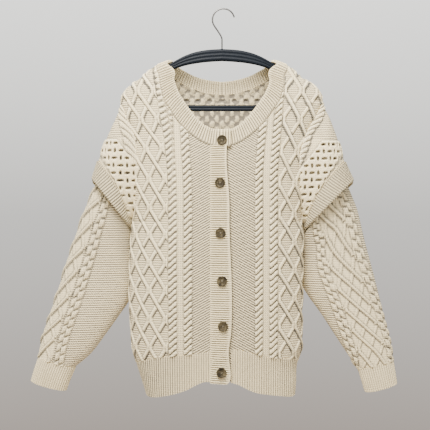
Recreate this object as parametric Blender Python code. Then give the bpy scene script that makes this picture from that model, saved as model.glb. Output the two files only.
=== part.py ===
"""Cable knit cardigan on a moulded hanger, built panel by panel.

Lengths in this file are millimetres until a mesh is written, which is in metres. The origin is the
point of the wire hook that the whole thing hangs from. x runs to the wearer's left, y towards the
back and z up. Tables give heights as a drop, the distance below the origin.
"""
import math

import bmesh
import bpy
import numpy as np
from mathutils.geometry import delaunay_2d_cdt

MM = 0.001

# Driving dimensions of the knit
WALL = 3.0                # thickness of the plain knit
SEAM_GAP = 0.4            # clearance between pieces along a seam
HEM_GAP = 0.8             # the same above the hem
NECK_GAP = 0.8            # and round the neck band
CABLE_RISE = 3.2          # how far ropes and braids stand out
STRAND_RISE = 2.8         # how far the lattice strands stand out
STRAND_HALF_WIDTH = 2.6
RIB_RISE = 1.4
RIB_END = 1.6             # where a rib's crest starts, from the strip's edge
ROPE_WIDTH = 16.5
ROPE_PITCH = 12.0
BRAID_WIDTH = 18.0
BRAID_PITCH = 20.0
DIAMOND_WIDTH = 37.0
DIAMOND_HEIGHT = 56.0
BACK_DIAMOND_WIDTH = 46.0
BACK_DIAMOND_HEIGHT = 70.0
SLEEVE_DIAMOND_HEIGHT = 50.0
HEM_RIB_PITCH = 5.7
NECK_RIB_PITCH = 5.3
BAND_RIB_PITCH = 4.2
CAP_RIB_PITCH = 4.6
CUFF_RIB_PITCH = 4.6

# Centre front
OVER_BAND_INNER = -23.0   # where the buttonhole band is sewn to its front
UNDER_BAND_INNER = 21.0   # where the button band is sewn to its front
UNDER_BAND_OUTER = -10.0
BAND_TOP = 289.0
BAND_LIFT = 6.0           # how far the buttonhole band's free edge stands over the front
UNDER_SINK = 4.0          # how far the button band's free edge lies behind it
BAND_RIB_RISE = 1.1
OVER_BAND_END = 756.0
UNDER_BAND_END = 752.0

# Buttons
BUTTON_RADIUS = 10.0
BUTTON_THICKNESS = 3.2
BUTTON_SIDES = 12
BUTTON_STAND = 1.5        # clearance between a button and its band
TOP_BUTTON_STAND = 1.85   # the same on the thicker neck band
BUTTON_DROPS = (276.0, 359.0, 457.0, 551.0, 640.0, 733.0)
BUTTON_ACROSS = (1.0, -3.0, -2.0, 1.0, 3.0, 0.0)

# Body sections: drop, half width to the wearer's right and left, how far the armhole edge stands
# off the middle plane, depth of the front and the back, and how square the side is rounded
BODY_COLUMNS = ("drop", "right", "left", "seam", "front", "back", "round")
BODY_ROWS = (
    (95.0, 75.0, 75.0, 0.0, 4.0, 4.0, 2.5),
    (105.0, 103.0, 103.0, 0.0, 11.0, 11.0, 2.5),
    (116.0, 132.0, 132.0, 0.0, 19.0, 20.0, 2.5),
    (143.0, 169.0, 167.0, 0.0, 28.0, 33.0, 2.5),
    (159.0, 189.0, 190.0, 0.0, 33.0, 38.0, 2.4),
    (178.0, 204.0, 204.0, 0.0, 38.0, 42.0, 2.2),
    (190.0, 206.0, 205.5, 0.0, 41.0, 44.0, 1.9),
    (194.0, 205.5, 204.5, 6.5, 42.0, 44.3, 1.8),
    (204.0, 201.0, 199.0, 12.0, 44.0, 45.3, 1.65),
    (221.0, 194.0, 190.0, 18.0, 48.0, 47.0, 1.5),
    (251.0, 179.0, 172.0, 25.0, 55.0, 49.0, 1.35),
    (287.0, 172.0, 157.5, 32.0, 62.0, 50.0, 1.3),
    (317.0, 170.0, 155.0, 34.0, 66.0, 50.0, 1.3),
    (372.0, 174.0, 158.0, 30.0, 69.0, 50.0, 1.5),
    (406.0, 178.0, 160.0, 21.0, 70.0, 50.0, 1.8),
    (424.0, 180.5, 162.5, 13.0, 70.0, 50.0, 2.0),
    (432.0, 181.5, 163.5, 7.0, 70.0, 50.0, 2.15),
    (436.0, 182.0, 164.0, 0.0, 70.0, 50.0, 2.2),
    (450.0, 184.0, 166.0, 0.0, 70.0, 50.0, 2.3),
    (520.0, 188.0, 165.0, 0.0, 68.0, 48.0, 2.4),
    (596.0, 189.0, 164.0, 0.0, 65.0, 46.0, 2.4),
    (657.0, 185.0, 163.0, 0.0, 61.0, 43.0, 2.4),
    (692.0, 183.0, 163.0, 0.0, 58.0, 41.0, 2.4),
    (726.0, 173.0, 152.0, 0.0, 54.0, 39.0, 2.4),
    (767.0, 160.0, 150.0, 0.0, 50.0, 37.0, 2.4),
    (800.0, 150.0, 147.0, 0.0, 48.0, 36.0, 2.4),
)
ARMHOLE_TOP = 190.0
ARMHOLE_BOTTOM = 436.0
CAP_SEAM = (0.7, 0.0, 1.0)       # how far a cap's seam stands out, is shortened and is slimmed
SLEEVE_SEAM = (0.3, 14.0, 0.9)   # the same for the sleeve inside it
SIDE_SQUARENESS = 2.5

# Hem: share of the way from the centre to the side, then the drop of its top and bottom edges
HEM_COLUMNS = ("share", "right_top", "left_top", "back_top", "right_end", "left_end", "back_end")
HEM_ROWS = (
    (0.00, 692.0, 688.0, 700.0, 753.0, 754.0, 764.0),
    (0.10, 693.0, 688.0, 700.0, 753.0, 755.0, 765.0),
    (0.20, 695.0, 690.0, 700.0, 754.0, 760.0, 766.0),
    (0.30, 698.0, 695.0, 701.0, 762.0, 769.0, 768.0),
    (0.40, 701.0, 700.0, 703.0, 771.0, 776.0, 771.0),
    (0.55, 704.0, 706.0, 706.0, 780.0, 781.0, 776.0),
    (0.70, 709.0, 709.0, 710.0, 786.0, 785.0, 781.0),
    (0.85, 717.0, 712.0, 716.0, 790.0, 789.0, 786.0),
    (1.00, 723.0, 721.0, 722.0, 788.0, 788.0, 787.0),
)

RIGHT_HEM_LENGTH = 150.0
LEFT_HEM_LENGTH = 134.0
BACK_HEM_LENGTH = 352.0

# Free edge of the buttonhole band
FREE_EDGE_COLUMNS = ("drop", "across")
FREE_EDGE_ROWS = (
    (289.0, 9.0),
    (323.0, 9.0),
    (392.0, 14.0),
    (452.0, 14.5),
    (570.0, 19.0),
    (649.0, 18.0),
    (692.0, 13.0),
    (735.0, 17.0),
    (750.0, 15.0),
    (757.0, 9.0),
)

# Neck band, from the centre front over the shoulder to the centre back: the inner and the outer edge
NECK_COLUMNS = ("face", "inner_x", "inner_drop", "outer_x", "outer_drop")
NECK_ROWS = (
    ("front", 0.0, 253.0, 0.0, 288.0),
    ("front", 22.0, 250.0, 28.0, 282.0),
    ("front", 42.0, 237.0, 56.0, 265.0),
    ("front", 62.0, 214.0, 82.0, 241.0),
    ("front", 84.0, 181.0, 107.0, 206.0),
    ("front", 96.0, 150.0, 124.0, 165.0),
    ("front", 102.0, 122.0, 130.0, 133.0),
    ("ridge", 103.0, 105.0, 132.0, 116.0),
    ("back", 98.0, 112.0, 122.0, 129.0),
    ("back", 81.0, 121.0, 95.0, 145.0),
    ("back", 55.0, 133.0, 62.0, 160.0),
    ("back", 27.0, 140.0, 30.0, 169.0),
    ("back", 0.0, 143.0, 0.0, 172.0),
)
NECK_WIDTH = 33.0
RIDGE_REACH = 18.0        # how near to the shoulder's ridge every rib bends with the cloth
NECK_OVER_END = 17.0      # how far the band's ends pass the centre front
NECK_UNDER_END = 10.0

# Sleeves: rings from the armhole to the wrist, each with its outer and inner edge, the depth of
# half the tube and how far each edge lies behind the middle plane
RING_COLUMNS = ("outer_x", "outer_drop", "inner_x", "inner_drop", "depth", "outer_y", "inner_y")
RIGHT_SLEEVE_ROWS = (
    (-218.0, 250.0, -197.0, 432.0, 28.0, 0.0, 2.0),
    (-232.0, 293.0, -199.0, 442.0, 29.0, 1.0, 4.0),
    (-245.0, 330.0, -196.0, 460.0, 30.0, 2.0, 8.0),
    (-256.0, 355.0, -194.0, 476.0, 31.0, 3.0, 14.0),
    (-271.0, 388.0, -190.0, 496.0, 33.0, 5.0, 22.0),
    (-286.0, 424.0, -187.0, 518.0, 34.0, 8.0, 28.0),
    (-303.0, 473.0, -187.0, 545.0, 33.0, 9.0, 28.0),
    (-318.0, 516.0, -189.0, 572.0, 32.0, 9.0, 26.0),
    (-333.0, 565.0, -196.0, 600.0, 31.0, 9.0, 22.0),
    (-347.0, 608.0, -212.0, 628.0, 29.0, 8.0, 17.0),
    (-360.0, 645.0, -239.0, 666.0, 27.0, 7.0, 12.0),
    (-371.0, 682.0, -270.0, 707.0, 25.0, 6.0, 9.0),
    (-376.0, 714.0, -303.0, 735.0, 23.0, 5.0, 7.0),
)
LEFT_SLEEVE_ROWS = (
    (218.0, 250.0, 180.0, 432.0, 28.0, 0.0, 2.0),
    (230.0, 293.0, 182.0, 442.0, 29.0, 1.0, 4.0),
    (242.0, 330.0, 179.0, 460.0, 30.0, 2.0, 8.0),
    (254.0, 353.0, 177.0, 476.0, 31.0, 3.0, 14.0),
    (267.0, 382.0, 173.0, 496.0, 33.0, 5.0, 22.0),
    (279.0, 412.0, 170.0, 518.0, 34.0, 8.0, 28.0),
    (291.0, 462.0, 170.0, 543.0, 33.0, 9.0, 28.0),
    (303.0, 508.0, 173.0, 565.0, 32.0, 9.0, 26.0),
    (315.0, 553.0, 184.0, 591.0, 31.0, 9.0, 22.0),
    (327.0, 602.0, 206.0, 627.0, 29.0, 8.0, 17.0),
    (337.0, 645.0, 233.0, 669.0, 27.0, 7.0, 12.0),
    (346.0, 683.0, 261.0, 711.0, 25.0, 6.0, 9.0),
    (350.5, 719.0, 281.0, 737.0, 23.0, 5.0, 7.0),
)
RIGHT_CUFF_ROWS = (
    (-376.0, 714.0, -303.0, 735.0, 23.0, 5.0, 7.0),
    (-384.0, 738.0, -314.0, 760.0, 22.5, 4.0, 6.0),
    (-391.0, 762.0, -322.0, 782.0, 22.0, 4.0, 6.0),
)
LEFT_CUFF_ROWS = (
    (350.5, 719.0, 281.0, 737.0, 23.0, 5.0, 7.0),
    (354.5, 744.0, 289.0, 762.0, 22.5, 4.0, 6.0),
    (358.0, 767.0, 296.0, 785.0, 22.0, 4.0, 6.0),
)
SLEEVE_SQUARENESS = 2.2

# Over-sleeve caps: the last columns are how far the front and the back of a ring are lifted
CAP_COLUMNS = RING_COLUMNS + ("lift", "back_lift")
RIGHT_CAP_ROWS = (
    (-217.0, 225.0, -187.0, 440.0, 41.0, 0.0, 3.0, 4.0, 2.0),
    (-232.0, 262.0, -188.0, 444.0, 46.0, 1.0, 5.0, 16.0, 6.0),
    (-244.0, 298.0, -189.0, 447.0, 48.0, 2.0, 8.0, 30.0, 12.0),
    (-253.0, 328.0, -190.0, 450.0, 49.0, 2.0, 10.0, 42.0, 17.0),
)
LEFT_CAP_ROWS = (
    (219.0, 222.0, 170.0, 440.0, 41.0, 0.0, 3.0, 4.0, 2.0),
    (232.0, 259.0, 171.0, 444.0, 46.0, 1.0, 5.0, 14.0, 6.0),
    (243.0, 297.0, 172.0, 447.0, 48.0, 2.0, 8.0, 24.0, 12.0),
    (251.0, 329.0, 173.0, 450.0, 49.0, 2.0, 10.0, 34.0, 17.0),
)
RIGHT_CAP_BAND_ROWS = (
    (-253.3, 328.7, -190.1, 450.7, 49.0, 2.0, 10.0, 42.0, 17.0),
    (-259.0, 342.0, -190.5, 458.0, 50.0, 2.0, 11.0, 27.0, 6.0),
    (-265.0, 355.0, -190.5, 466.0, 50.0, 2.0, 12.0, 10.0, -5.0),
)
LEFT_CAP_BAND_ROWS = (
    (251.3, 329.7, 173.1, 450.7, 49.0, 2.0, 10.0, 34.0, 17.0),
    (259.5, 344.0, 173.5, 458.0, 50.0, 2.0, 11.0, 21.0, 6.0),
    (268.5, 357.0, 173.5, 466.0, 50.0, 2.0, 12.0, 8.0, -5.0),
)

# Openwork of the caps
HOLE_ROW_PITCH = 15.4
HOLE_PITCH = 12.0
HOLE_LENGTH = 8.4
HOLE_HEIGHT = 5.2

# Hanger
ARCH_COLUMNS = ("x", "top", "height")
ARCH_ROWS = (
    (0.0, 81.0, 23.6),
    (51.0, 90.0, 21.0),
    (103.0, 109.5, 15.5),
    (132.0, 124.5, 14.5),
    (169.0, 154.5, 14.0),
    (184.0, 169.0, 14.0),
    (184.4, 169.4, 39.5),
    (192.0, 178.0, 30.0),
    (196.0, 184.0, 20.0),
)
ARCH_HALF_DEPTH = 5.0     # at the centre
ARCH_END_HALF_DEPTH = 4.0
BAR_TOP = 196.0
BAR_HEIGHT = 12.4
BAR_END = 183.7
BAR_HALF_DEPTH = 4.0
HOOK_CENTRE_X = 3.0
HOOK_RADIUS = 22.6
WIRE_RADIUS = 1.6
HOOK_FOOT = 80.6

MATERIALS = {
    "cream_knit": ((0.80, 0.74, 0.62), 0.92, 0.0),
    "black_plastic": ((0.012, 0.014, 0.018), 0.38, 0.0),
    "steel_wire": ((0.42, 0.41, 0.39), 0.32, 1.0),
    "horn": ((0.10, 0.075, 0.045), 0.35, 0.0),
}


# ---------------------------------------------------------------- curves and tables
def smooth(xs, ys, x):
    """Cubic curve through table points, with finite difference slopes."""
    x = min(max(x, xs[0]), xs[-1])
    k = min(max(int(np.searchsorted(xs, x, side="right")) - 1, 0), len(xs) - 2)
    step = xs[k + 1] - xs[k]

    def slope(i):
        low = max(i - 1, 0)
        high = min(i + 1, len(xs) - 1)
        return (ys[high] - ys[low]) / (xs[high] - xs[low])

    t = (x - xs[k]) / step
    start = (1 + 2 * t) * (1 - t) ** 2 * ys[k] + t * (1 - t) ** 2 * step * slope(k)
    end = t * t * (3 - 2 * t) * ys[k + 1] + t * t * (t - 1) * step * slope(k + 1)
    return start + end


class Table:
    """Rows with named columns, read smoothly by the first column."""

    def __init__(self, columns, rows):
        self.columns = columns
        self.rows = np.array(rows, dtype=float)

    def at(self, x):
        values = smooth(self.rows[:, 0], self.rows[:, 1:], x)
        return dict(zip(self.columns[1:], values))


BODY = Table(BODY_COLUMNS, BODY_ROWS)
HEM = Table(HEM_COLUMNS, HEM_ROWS)
FREE_EDGE = Table(FREE_EDGE_COLUMNS, FREE_EDGE_ROWS)


# ---------------------------------------------------------------- cloth surfaces
class Skin:
    """A cloth surface: v picks a line across it, u is the distance along that line."""

    def __init__(self):
        self.lines = {}

    def line(self, v):
        key = round(v, 2)
        if key not in self.lines:
            self.lines[key] = self.make_line(key)
        return self.lines[key]

    def span(self, v):
        along = self.line(v)[0]
        return along[0], along[-1]

    def at(self, u, v):
        along, points = self.line(v)
        return np.array([np.interp(u, along, points[:, i]) for i in range(3)])

    def point(self, u, v, offset):
        return self.at(u, v) + self.normal(u, v) * offset


def body_point(side, turn, drop, row=None):
    """A point of the body: turn is 0 at the centre front, a quarter turn at the side and a half
    turn at the centre back."""
    row = row or BODY.at(drop)
    edge = row["right"] if side < 0 else row["left"]
    sweep = max(math.sin(turn), 0.0) ** (2 / SIDE_SQUARENESS)
    inward = abs(math.cos(turn)) ** (2 / row["round"])
    seam = max(row["seam"], 0.0)
    front = turn < math.pi / 2
    depth = row["front"] if front else row["back"]
    y = seam + (depth - seam) * inward
    return np.array([side * edge * sweep, -y if front else y, -drop])


def body_normal(side, turn, drop):
    """Outward direction at a point of the body."""
    quarter = math.pi / 2
    first, last = turn - 0.03, turn + 0.03
    if BODY.at(drop)["seam"] > 0.3:
        front = turn < quarter
        first = max(first, 0.0 if front else quarter)
        last = min(last, quarter - 1e-9 if front else math.pi)
    across = body_point(side, abs(last), drop) - body_point(side, abs(first), drop)
    if turn < 0.03 or turn > math.pi - 0.03:
        across = np.array([1.0, 0.0, 0.0])
    down = body_point(side, turn, drop + 2.0) - body_point(side, turn, drop - 2.0)
    n = np.cross(across, down)
    n /= np.linalg.norm(n)
    x, y, _ = body_point(side, turn, drop)
    return n if n[0] * x + n[1] * y > 0 else -n


class BodySkin(Skin):
    """Front or back of the body: u is measured from the centre, + to the wearer's left."""

    STEPS = 40

    def __init__(self, face):
        super().__init__()
        self.face = face
        self.halves = {}

    def half(self, side, drop):
        key = (side, round(drop, 2))
        if key not in self.halves:
            self.halves[key] = self.make_half(side, key[1])
        return self.halves[key]

    def make_half(self, side, drop):
        row = BODY.at(drop)
        turns = np.linspace(0, math.pi / 2, self.STEPS + 1)
        if self.face == "back":
            turns = math.pi - turns
        else:
            turns[-1] = math.pi / 2 - 1e-9
        points = np.array([body_point(side, turn, drop, row) for turn in turns])
        along = np.concatenate([[0.0], np.cumsum(np.linalg.norm(np.diff(points, axis=0), axis=1))])
        return along, points

    def make_line(self, v):
        right_along, right = self.half(-1, v)
        left_along, left = self.half(1, v)
        along = np.concatenate([-right_along[:0:-1], left_along])
        return along, np.concatenate([right[:0:-1], left])

    def normal(self, u, v):
        side = -1 if u < 0 else 1
        along, _ = self.half(side, v)
        turn = float(np.interp(abs(u), along, np.linspace(0, math.pi / 2, self.STEPS + 1)))
        turn = turn if self.face == "front" else math.pi - turn
        if self.face == "front":
            turn = min(turn, math.pi / 2 - 1e-9)
        return body_normal(side, turn, v)

    def u_at_turn(self, side, turn, drop):
        along, points = self.half(side, drop)
        folded = turn if self.face == "front" else math.pi - turn
        return side * float(np.interp(folded, np.linspace(0, math.pi / 2, self.STEPS + 1), along))


FRONT = BodySkin("front")
BACK = BodySkin("back")


def armhole_loop(side, out, inset, slimness, half_count):
    """The armhole seam as a loop from the underarm at the back over the shoulder to the front, moved
    out from it, shortened by the inset at both ends and made slimmer."""
    halves = []
    for face in (FRONT, BACK):
        points = []
        for share in np.linspace(0, 1, 60):
            end = 0 if side < 0 else 1
            full = ARMHOLE_TOP + share * (ARMHOLE_BOTTOM - ARMHOLE_TOP)
            drop = full + inset * (1 - 2 * share)
            depth = face.at(face.span(full)[end], full)[1]
            seam = face.at(face.span(drop)[end], drop)
            points.append([seam[0] + side * out, depth * slimness, -drop])
        points = np.array(points)
        along = np.concatenate([[0], np.cumsum(np.linalg.norm(np.diff(points, axis=0), axis=1))])
        wanted = np.linspace(0, along[-1], half_count + 1)
        halves.append(np.array([[np.interp(w, along, points[:, i]) for i in range(3)] for w in wanted]))
    front, back = halves
    return np.concatenate([back[:0:-1], front])


class TubeSkin(Skin):
    """A sleeve: u is 0 at the outer edge, + over the front, and v runs down the arm."""

    HALF = 36

    def __init__(self, rows, first_ring=None):
        super().__init__()
        rings = [] if first_ring is None else [first_ring]
        rings += [self.ring(*row) for row in rows]
        self.rings = np.array(rings)
        centres = self.rings.mean(axis=1)
        steps = np.linalg.norm(np.diff(centres, axis=0), axis=1)
        self.stations = np.concatenate([[0.0], np.cumsum(steps)])
        self.length = float(self.stations[-1])

    def ring(self, outer_x, outer_drop, inner_x, inner_drop, depth, outer_y, inner_y, lift=0.0,
             back_lift=0.0):
        outer = np.array([outer_x, outer_y, -outer_drop])
        inner = np.array([inner_x, inner_y, -inner_drop])
        centre = (outer + inner) / 2
        half = (outer - inner) / 2
        forward = np.array([0.0, -depth, lift])
        backward = np.array([0.0, -depth, -back_lift])
        points = []
        for turn in np.linspace(-math.pi, math.pi, 4 * self.HALF + 1):
            a = math.copysign(abs(math.cos(turn)) ** (2 / SLEEVE_SQUARENESS), math.cos(turn))
            b = math.copysign(abs(math.sin(turn)) ** (2 / SLEEVE_SQUARENESS), math.sin(turn))
            points.append(centre + half * a + (forward if b > 0 else backward) * b)
        points = np.array(points)
        middle = 2 * self.HALF
        sides = []
        for part in (points[middle::-1], points[middle:]):
            along = np.concatenate([[0], np.cumsum(np.linalg.norm(np.diff(part, axis=0), axis=1))])
            wanted = np.linspace(0, along[-1], self.HALF + 1)
            sides.append(np.array([[np.interp(w, along, part[:, i]) for i in range(3)] for w in wanted]))
        back, front = sides
        return np.concatenate([back[:0:-1], front])

    def make_line(self, v):
        if v < 0 or v > self.length:
            end, inner = (0, 1) if v < 0 else (-1, -2)
            step = abs(self.stations[end] - self.stations[inner])
            excess = -v if v < 0 else v - self.length
            points = self.rings[end] + (self.rings[end] - self.rings[inner]) * excess / step
        else:
            points = smooth(self.stations, self.rings, v)
        along = np.concatenate([[0], np.cumsum(np.linalg.norm(np.diff(points, axis=0), axis=1))])
        return along - along[self.HALF], points

    def outward(self, u, v):
        points = self.line(v)[1]
        return self.at(u, v) - points.mean(axis=0)

    def wrapped(self, u, v):
        """A point of the closed tube, for a u that may pass the inner edge."""
        low, high = self.span(v)
        return self.at(low + (u - low) % (high - low), v)

    def normal(self, u, v, step=2.0):
        low, high = self.span(v)
        share = (u - low) / (high - low)
        across = self.wrapped(u + step, v) - self.wrapped(u - step, v)
        ends = []
        for w in (v - step, v + step):
            start, stop = self.span(w)
            ends.append(self.at(start + share * (stop - start), w))
        n = np.cross(across, ends[1] - ends[0])
        n /= np.linalg.norm(n)
        return n if np.dot(n, self.outward(u, v)) > 0 else -n

    def find(self, x, drop, face, v_low, v_high):
        """The cloth coordinates of the front or back point seen at x and drop."""
        best = None
        for v in np.linspace(v_low, v_high, 40):
            along, points = self.line(v)
            part = slice(self.HALF, None) if face == "front" else slice(0, self.HALF + 1)
            gap = (points[part, 0] - x) ** 2 + (points[part, 2] + drop) ** 2
            k = int(np.argmin(gap))
            if best is None or gap[k] < best[0]:
                best = (gap[k], along[part][k], v)
        u, v = best[1], best[2]
        for _ in range(6):
            here = self.at(u, v)
            du = self.at(u + 0.5, v) - self.at(u - 0.5, v)
            dv = self.at(u, v + 0.5) - self.at(u, v - 0.5)
            m = np.array([[du[0], dv[0]], [du[2], dv[2]]])
            if abs(np.linalg.det(m)) < 1e-3:
                break
            step = np.linalg.solve(m, np.array([x - here[0], -drop - here[2]]))
            u += float(np.clip(step[0], -4, 4))
            v += float(np.clip(step[1], -4, 4))
        return u, v


# ---------------------------------------------------------------- raised patterns
class Relief:
    """Raised lines and cut holes of one panel, in its cloth coordinates."""

    def __init__(self, outline, margin=4.0, place=None):
        self.loop = np.array([point[:2] for point in outline], dtype=float)
        self.margin = margin
        self.place = place or (lambda u, v: (u, v))
        self.points = []
        self.edges = []
        self.holes = []

    def inside(self, u, v, margin=None):
        return clear_inside(self.loop, u, v, self.margin if margin is None else margin)

    def add(self, u, v, height):
        self.points.append((u, v, height))
        return len(self.points) - 1

    def chain(self, ids, closed=False):
        self.edges += list(zip(ids, ids[1:]))
        if closed:
            self.edges.append((ids[-1], ids[0]))

    def ridge(self, path, half_width, rise):
        """A raised strand: two feet and a crest at each stop, tapered where it is cut off."""
        run = []
        for k, (u, v) in enumerate(path):
            before = path[max(k - 1, 0)]
            after = path[min(k + 1, len(path) - 1)]
            du, dv = after[0] - before[0], after[1] - before[1]
            scale = half_width / math.hypot(du, dv)
            stop = [self.place(*p) for p in ((u + dv * scale, v - du * scale), (u, v),
                                             (u - dv * scale, v + du * scale))]
            if all(self.inside(*p) for p in stop):
                run.append(stop)
            else:
                self.finish_ridge(run, rise)
                run = []
        self.finish_ridge(run, rise)

    def finish_ridge(self, run, rise):
        if len(run) < 2:
            return
        feet_a = [self.add(*stop[0], 0.0) for stop in run[1:-1]]
        feet_b = [self.add(*stop[2], 0.0) for stop in run[1:-1]]
        first = self.add(*run[0][1], 0.0)
        last = self.add(*run[-1][1], 0.0)
        if len(run) == 2:
            return
        crest = [self.add(*stop[1], rise) for stop in run[1:-1]]
        self.chain([first] + crest + [last])
        self.chain([first] + feet_a + [last])
        self.chain([first] + feet_b + [last])

    def spindle(self, u, v, du, dv, half_length, half_width, rise):
        """A short broken strand, pointed at both ends."""
        size = math.hypot(du, dv)
        du, dv = du / size, dv / size
        tips = [(u - du * half_length, v - dv * half_length), (u + du * half_length, v + dv * half_length)]
        sides = [(u + dv * half_width, v - du * half_width), (u - dv * half_width, v + du * half_width)]
        tips, sides, tops = [[self.place(*p) for p in group] for group in (tips, sides, [(u, v)])]
        if not all(self.inside(*p) for p in tips + sides):
            return
        tip_ids = [self.add(*p, 0.0) for p in tips]
        side_ids = [self.add(*p, 0.0) for p in sides]
        top_ids = [self.add(*p, rise) for p in tops]
        self.chain([tip_ids[0], side_ids[0], tip_ids[1], side_ids[1]], closed=True)
        self.chain([tip_ids[0], top_ids[0], tip_ids[1]])
        self.chain([side_ids[0], top_ids[0], side_ids[1]])

    def rope(self, u0, u1, v0, v1):
        """A twisted rope: slanting strands with a valley between each two."""
        count = int((v1 - v0) / ROPE_PITCH)
        lean = 4.5
        for k in range(count):
            v = v0 + (k + 0.5) * ROPE_PITCH
            valley = [self.place(u0, v + lean + ROPE_PITCH / 2), self.place(u1, v - lean + ROPE_PITCH / 2)]
            crest = [self.place(u0 + 3.0, v + lean * 0.7), self.place(u1 - 3.0, v - lean * 0.7)]
            if all(self.inside(*p) for p in valley + crest):
                self.chain([self.add(*p, 0.0) for p in valley])
                self.chain([self.add(*p, CABLE_RISE) for p in crest])

    def braid(self, u0, u1, v0, v1):
        """A braid of stacked Vs."""
        middle = (u0 + u1) / 2
        for k in range(int((v1 - v0) / BRAID_PITCH)):
            v = v0 + k * BRAID_PITCH
            crest = [self.place(u0 + 2.0, v), self.place(middle, v + 8.0), self.place(u1 - 2.0, v)]
            valley = [self.place(u0, v + 12.0), self.place(u1, v + 12.0)]
            if all(self.inside(*p) for p in crest + valley):
                self.chain([self.add(*p, h) for p, h in zip(crest, (CABLE_RISE, 2.2, CABLE_RISE))])
                self.chain([self.add(*p, 0.0) for p in valley])

    def lattice(self, u0, v0, v1, cells=2, width=DIAMOND_WIDTH, height=DIAMOND_HEIGHT):
        """Diamonds: long strands run down to the right and broken ones cross under them."""
        steepness = height / width
        first = int(v0 // height) - 2 * cells
        last = int(v1 // height) + 2
        for k in range(first, last):
            stops = np.linspace(0, cells * width, 2 * cells + 1)
            path = [(u0 + s, v0 + k * height + s * steepness) for s in stops]
            self.ridge(path, STRAND_HALF_WIDTH, STRAND_RISE)
            for i in range(2 * cells):
                u = u0 + (i + 0.5) * width / 2
                v = v0 + k * height + (i % 2) * height / 2 - height / 4
                self.spindle(u, v, width, -height, height * 0.21, STRAND_HALF_WIDTH, STRAND_RISE)

    def hole(self, corners):
        self.holes.append([self.add(u, v, 0.0) for u, v in corners])


def clear_inside(loop, u, v, margin):
    """Whether a point lies inside a closed loop, at least the margin away from it."""
    a = loop
    b = np.roll(loop, -1, axis=0)
    crosses = (a[:, 1] > v) != (b[:, 1] > v)
    with np.errstate(divide="ignore", invalid="ignore"):
        at = a[:, 0] + (v - a[:, 1]) / (b[:, 1] - a[:, 1]) * (b[:, 0] - a[:, 0])
    if np.count_nonzero(crosses & (at > u)) % 2 == 0:
        return False
    if margin <= 0:
        return True
    along = b - a
    share = ((u - a[:, 0]) * along[:, 0] + (v - a[:, 1]) * along[:, 1]) / (along ** 2).sum(axis=1)
    share = np.clip(share, 0, 1)
    near = a + along * share[:, None]
    return float(np.min(np.hypot(near[:, 0] - u, near[:, 1] - v))) >= margin


# ---------------------------------------------------------------- panels
def triangulate(points, edges, loop, holes):
    """Triangles over the points that keep the edges, inside the loop and outside the holes."""
    out = delaunay_2d_cdt([tuple(map(float, p)) for p in points], edges, [], 0, 0.01)
    verts, _, faces, origins = out[0], out[1], out[2], out[3]
    polygon = np.array(loop)
    cut = [np.array([points[i] for i in ring]) for ring in holes]
    boxes = [(ring.min(axis=0), ring.max(axis=0)) for ring in cut]
    kept = []
    for face in faces:
        u = sum(verts[i][0] for i in face) / 3
        v = sum(verts[i][1] for i in face) / 3
        if not clear_inside(polygon, u, v, 0):
            continue
        in_hole = any(low[0] < u < high[0] and low[1] < v < high[1] and clear_inside(ring, u, v, 0)
                      for ring, (low, high) in zip(cut, boxes))
        if not in_hole:
            kept.append(tuple(face))
    return [tuple(v) for v in verts], kept, origins


def grid_points(skin, loop, columns, row_step, taken, clearance, rails):
    """Free standing points that let a curved panel bend, kept clear of those already there."""
    taken = [np.array(p[:2]) for p in taken]
    low = loop[:, 1].min()
    high = loop[:, 1].max()
    rows = max(int((high - low) / row_step), 1)
    found = []
    for j in range(rows):
        v = low + (j + 0.5) * (high - low) / rows
        start, stop = rails(v)
        for share in columns:
            u = start + share * (stop - start)
            if not clear_inside(loop, u, v, clearance):
                continue
            spots = taken + found
            gaps = np.linalg.norm(np.array(spots) - np.array([u, v]), axis=1)
            if gaps.min() >= clearance:
                found.append(np.array([u, v]))
    return [tuple(p) for p in found]


def add_object(name, bm, material):
    bmesh.ops.recalc_face_normals(bm, faces=bm.faces)
    if bm.calc_volume(signed=True) < 0:
        bmesh.ops.reverse_faces(bm, faces=bm.faces)
    mesh = bpy.data.meshes.new(name)
    bm.to_mesh(mesh)
    bm.free()
    mesh.shade_smooth()
    mesh.set_sharp_from_angle(angle=math.radians(50))
    mesh.materials.append(bpy.data.materials[material])
    bpy.context.collection.objects.link(bpy.data.objects.new(name, mesh))


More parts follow.
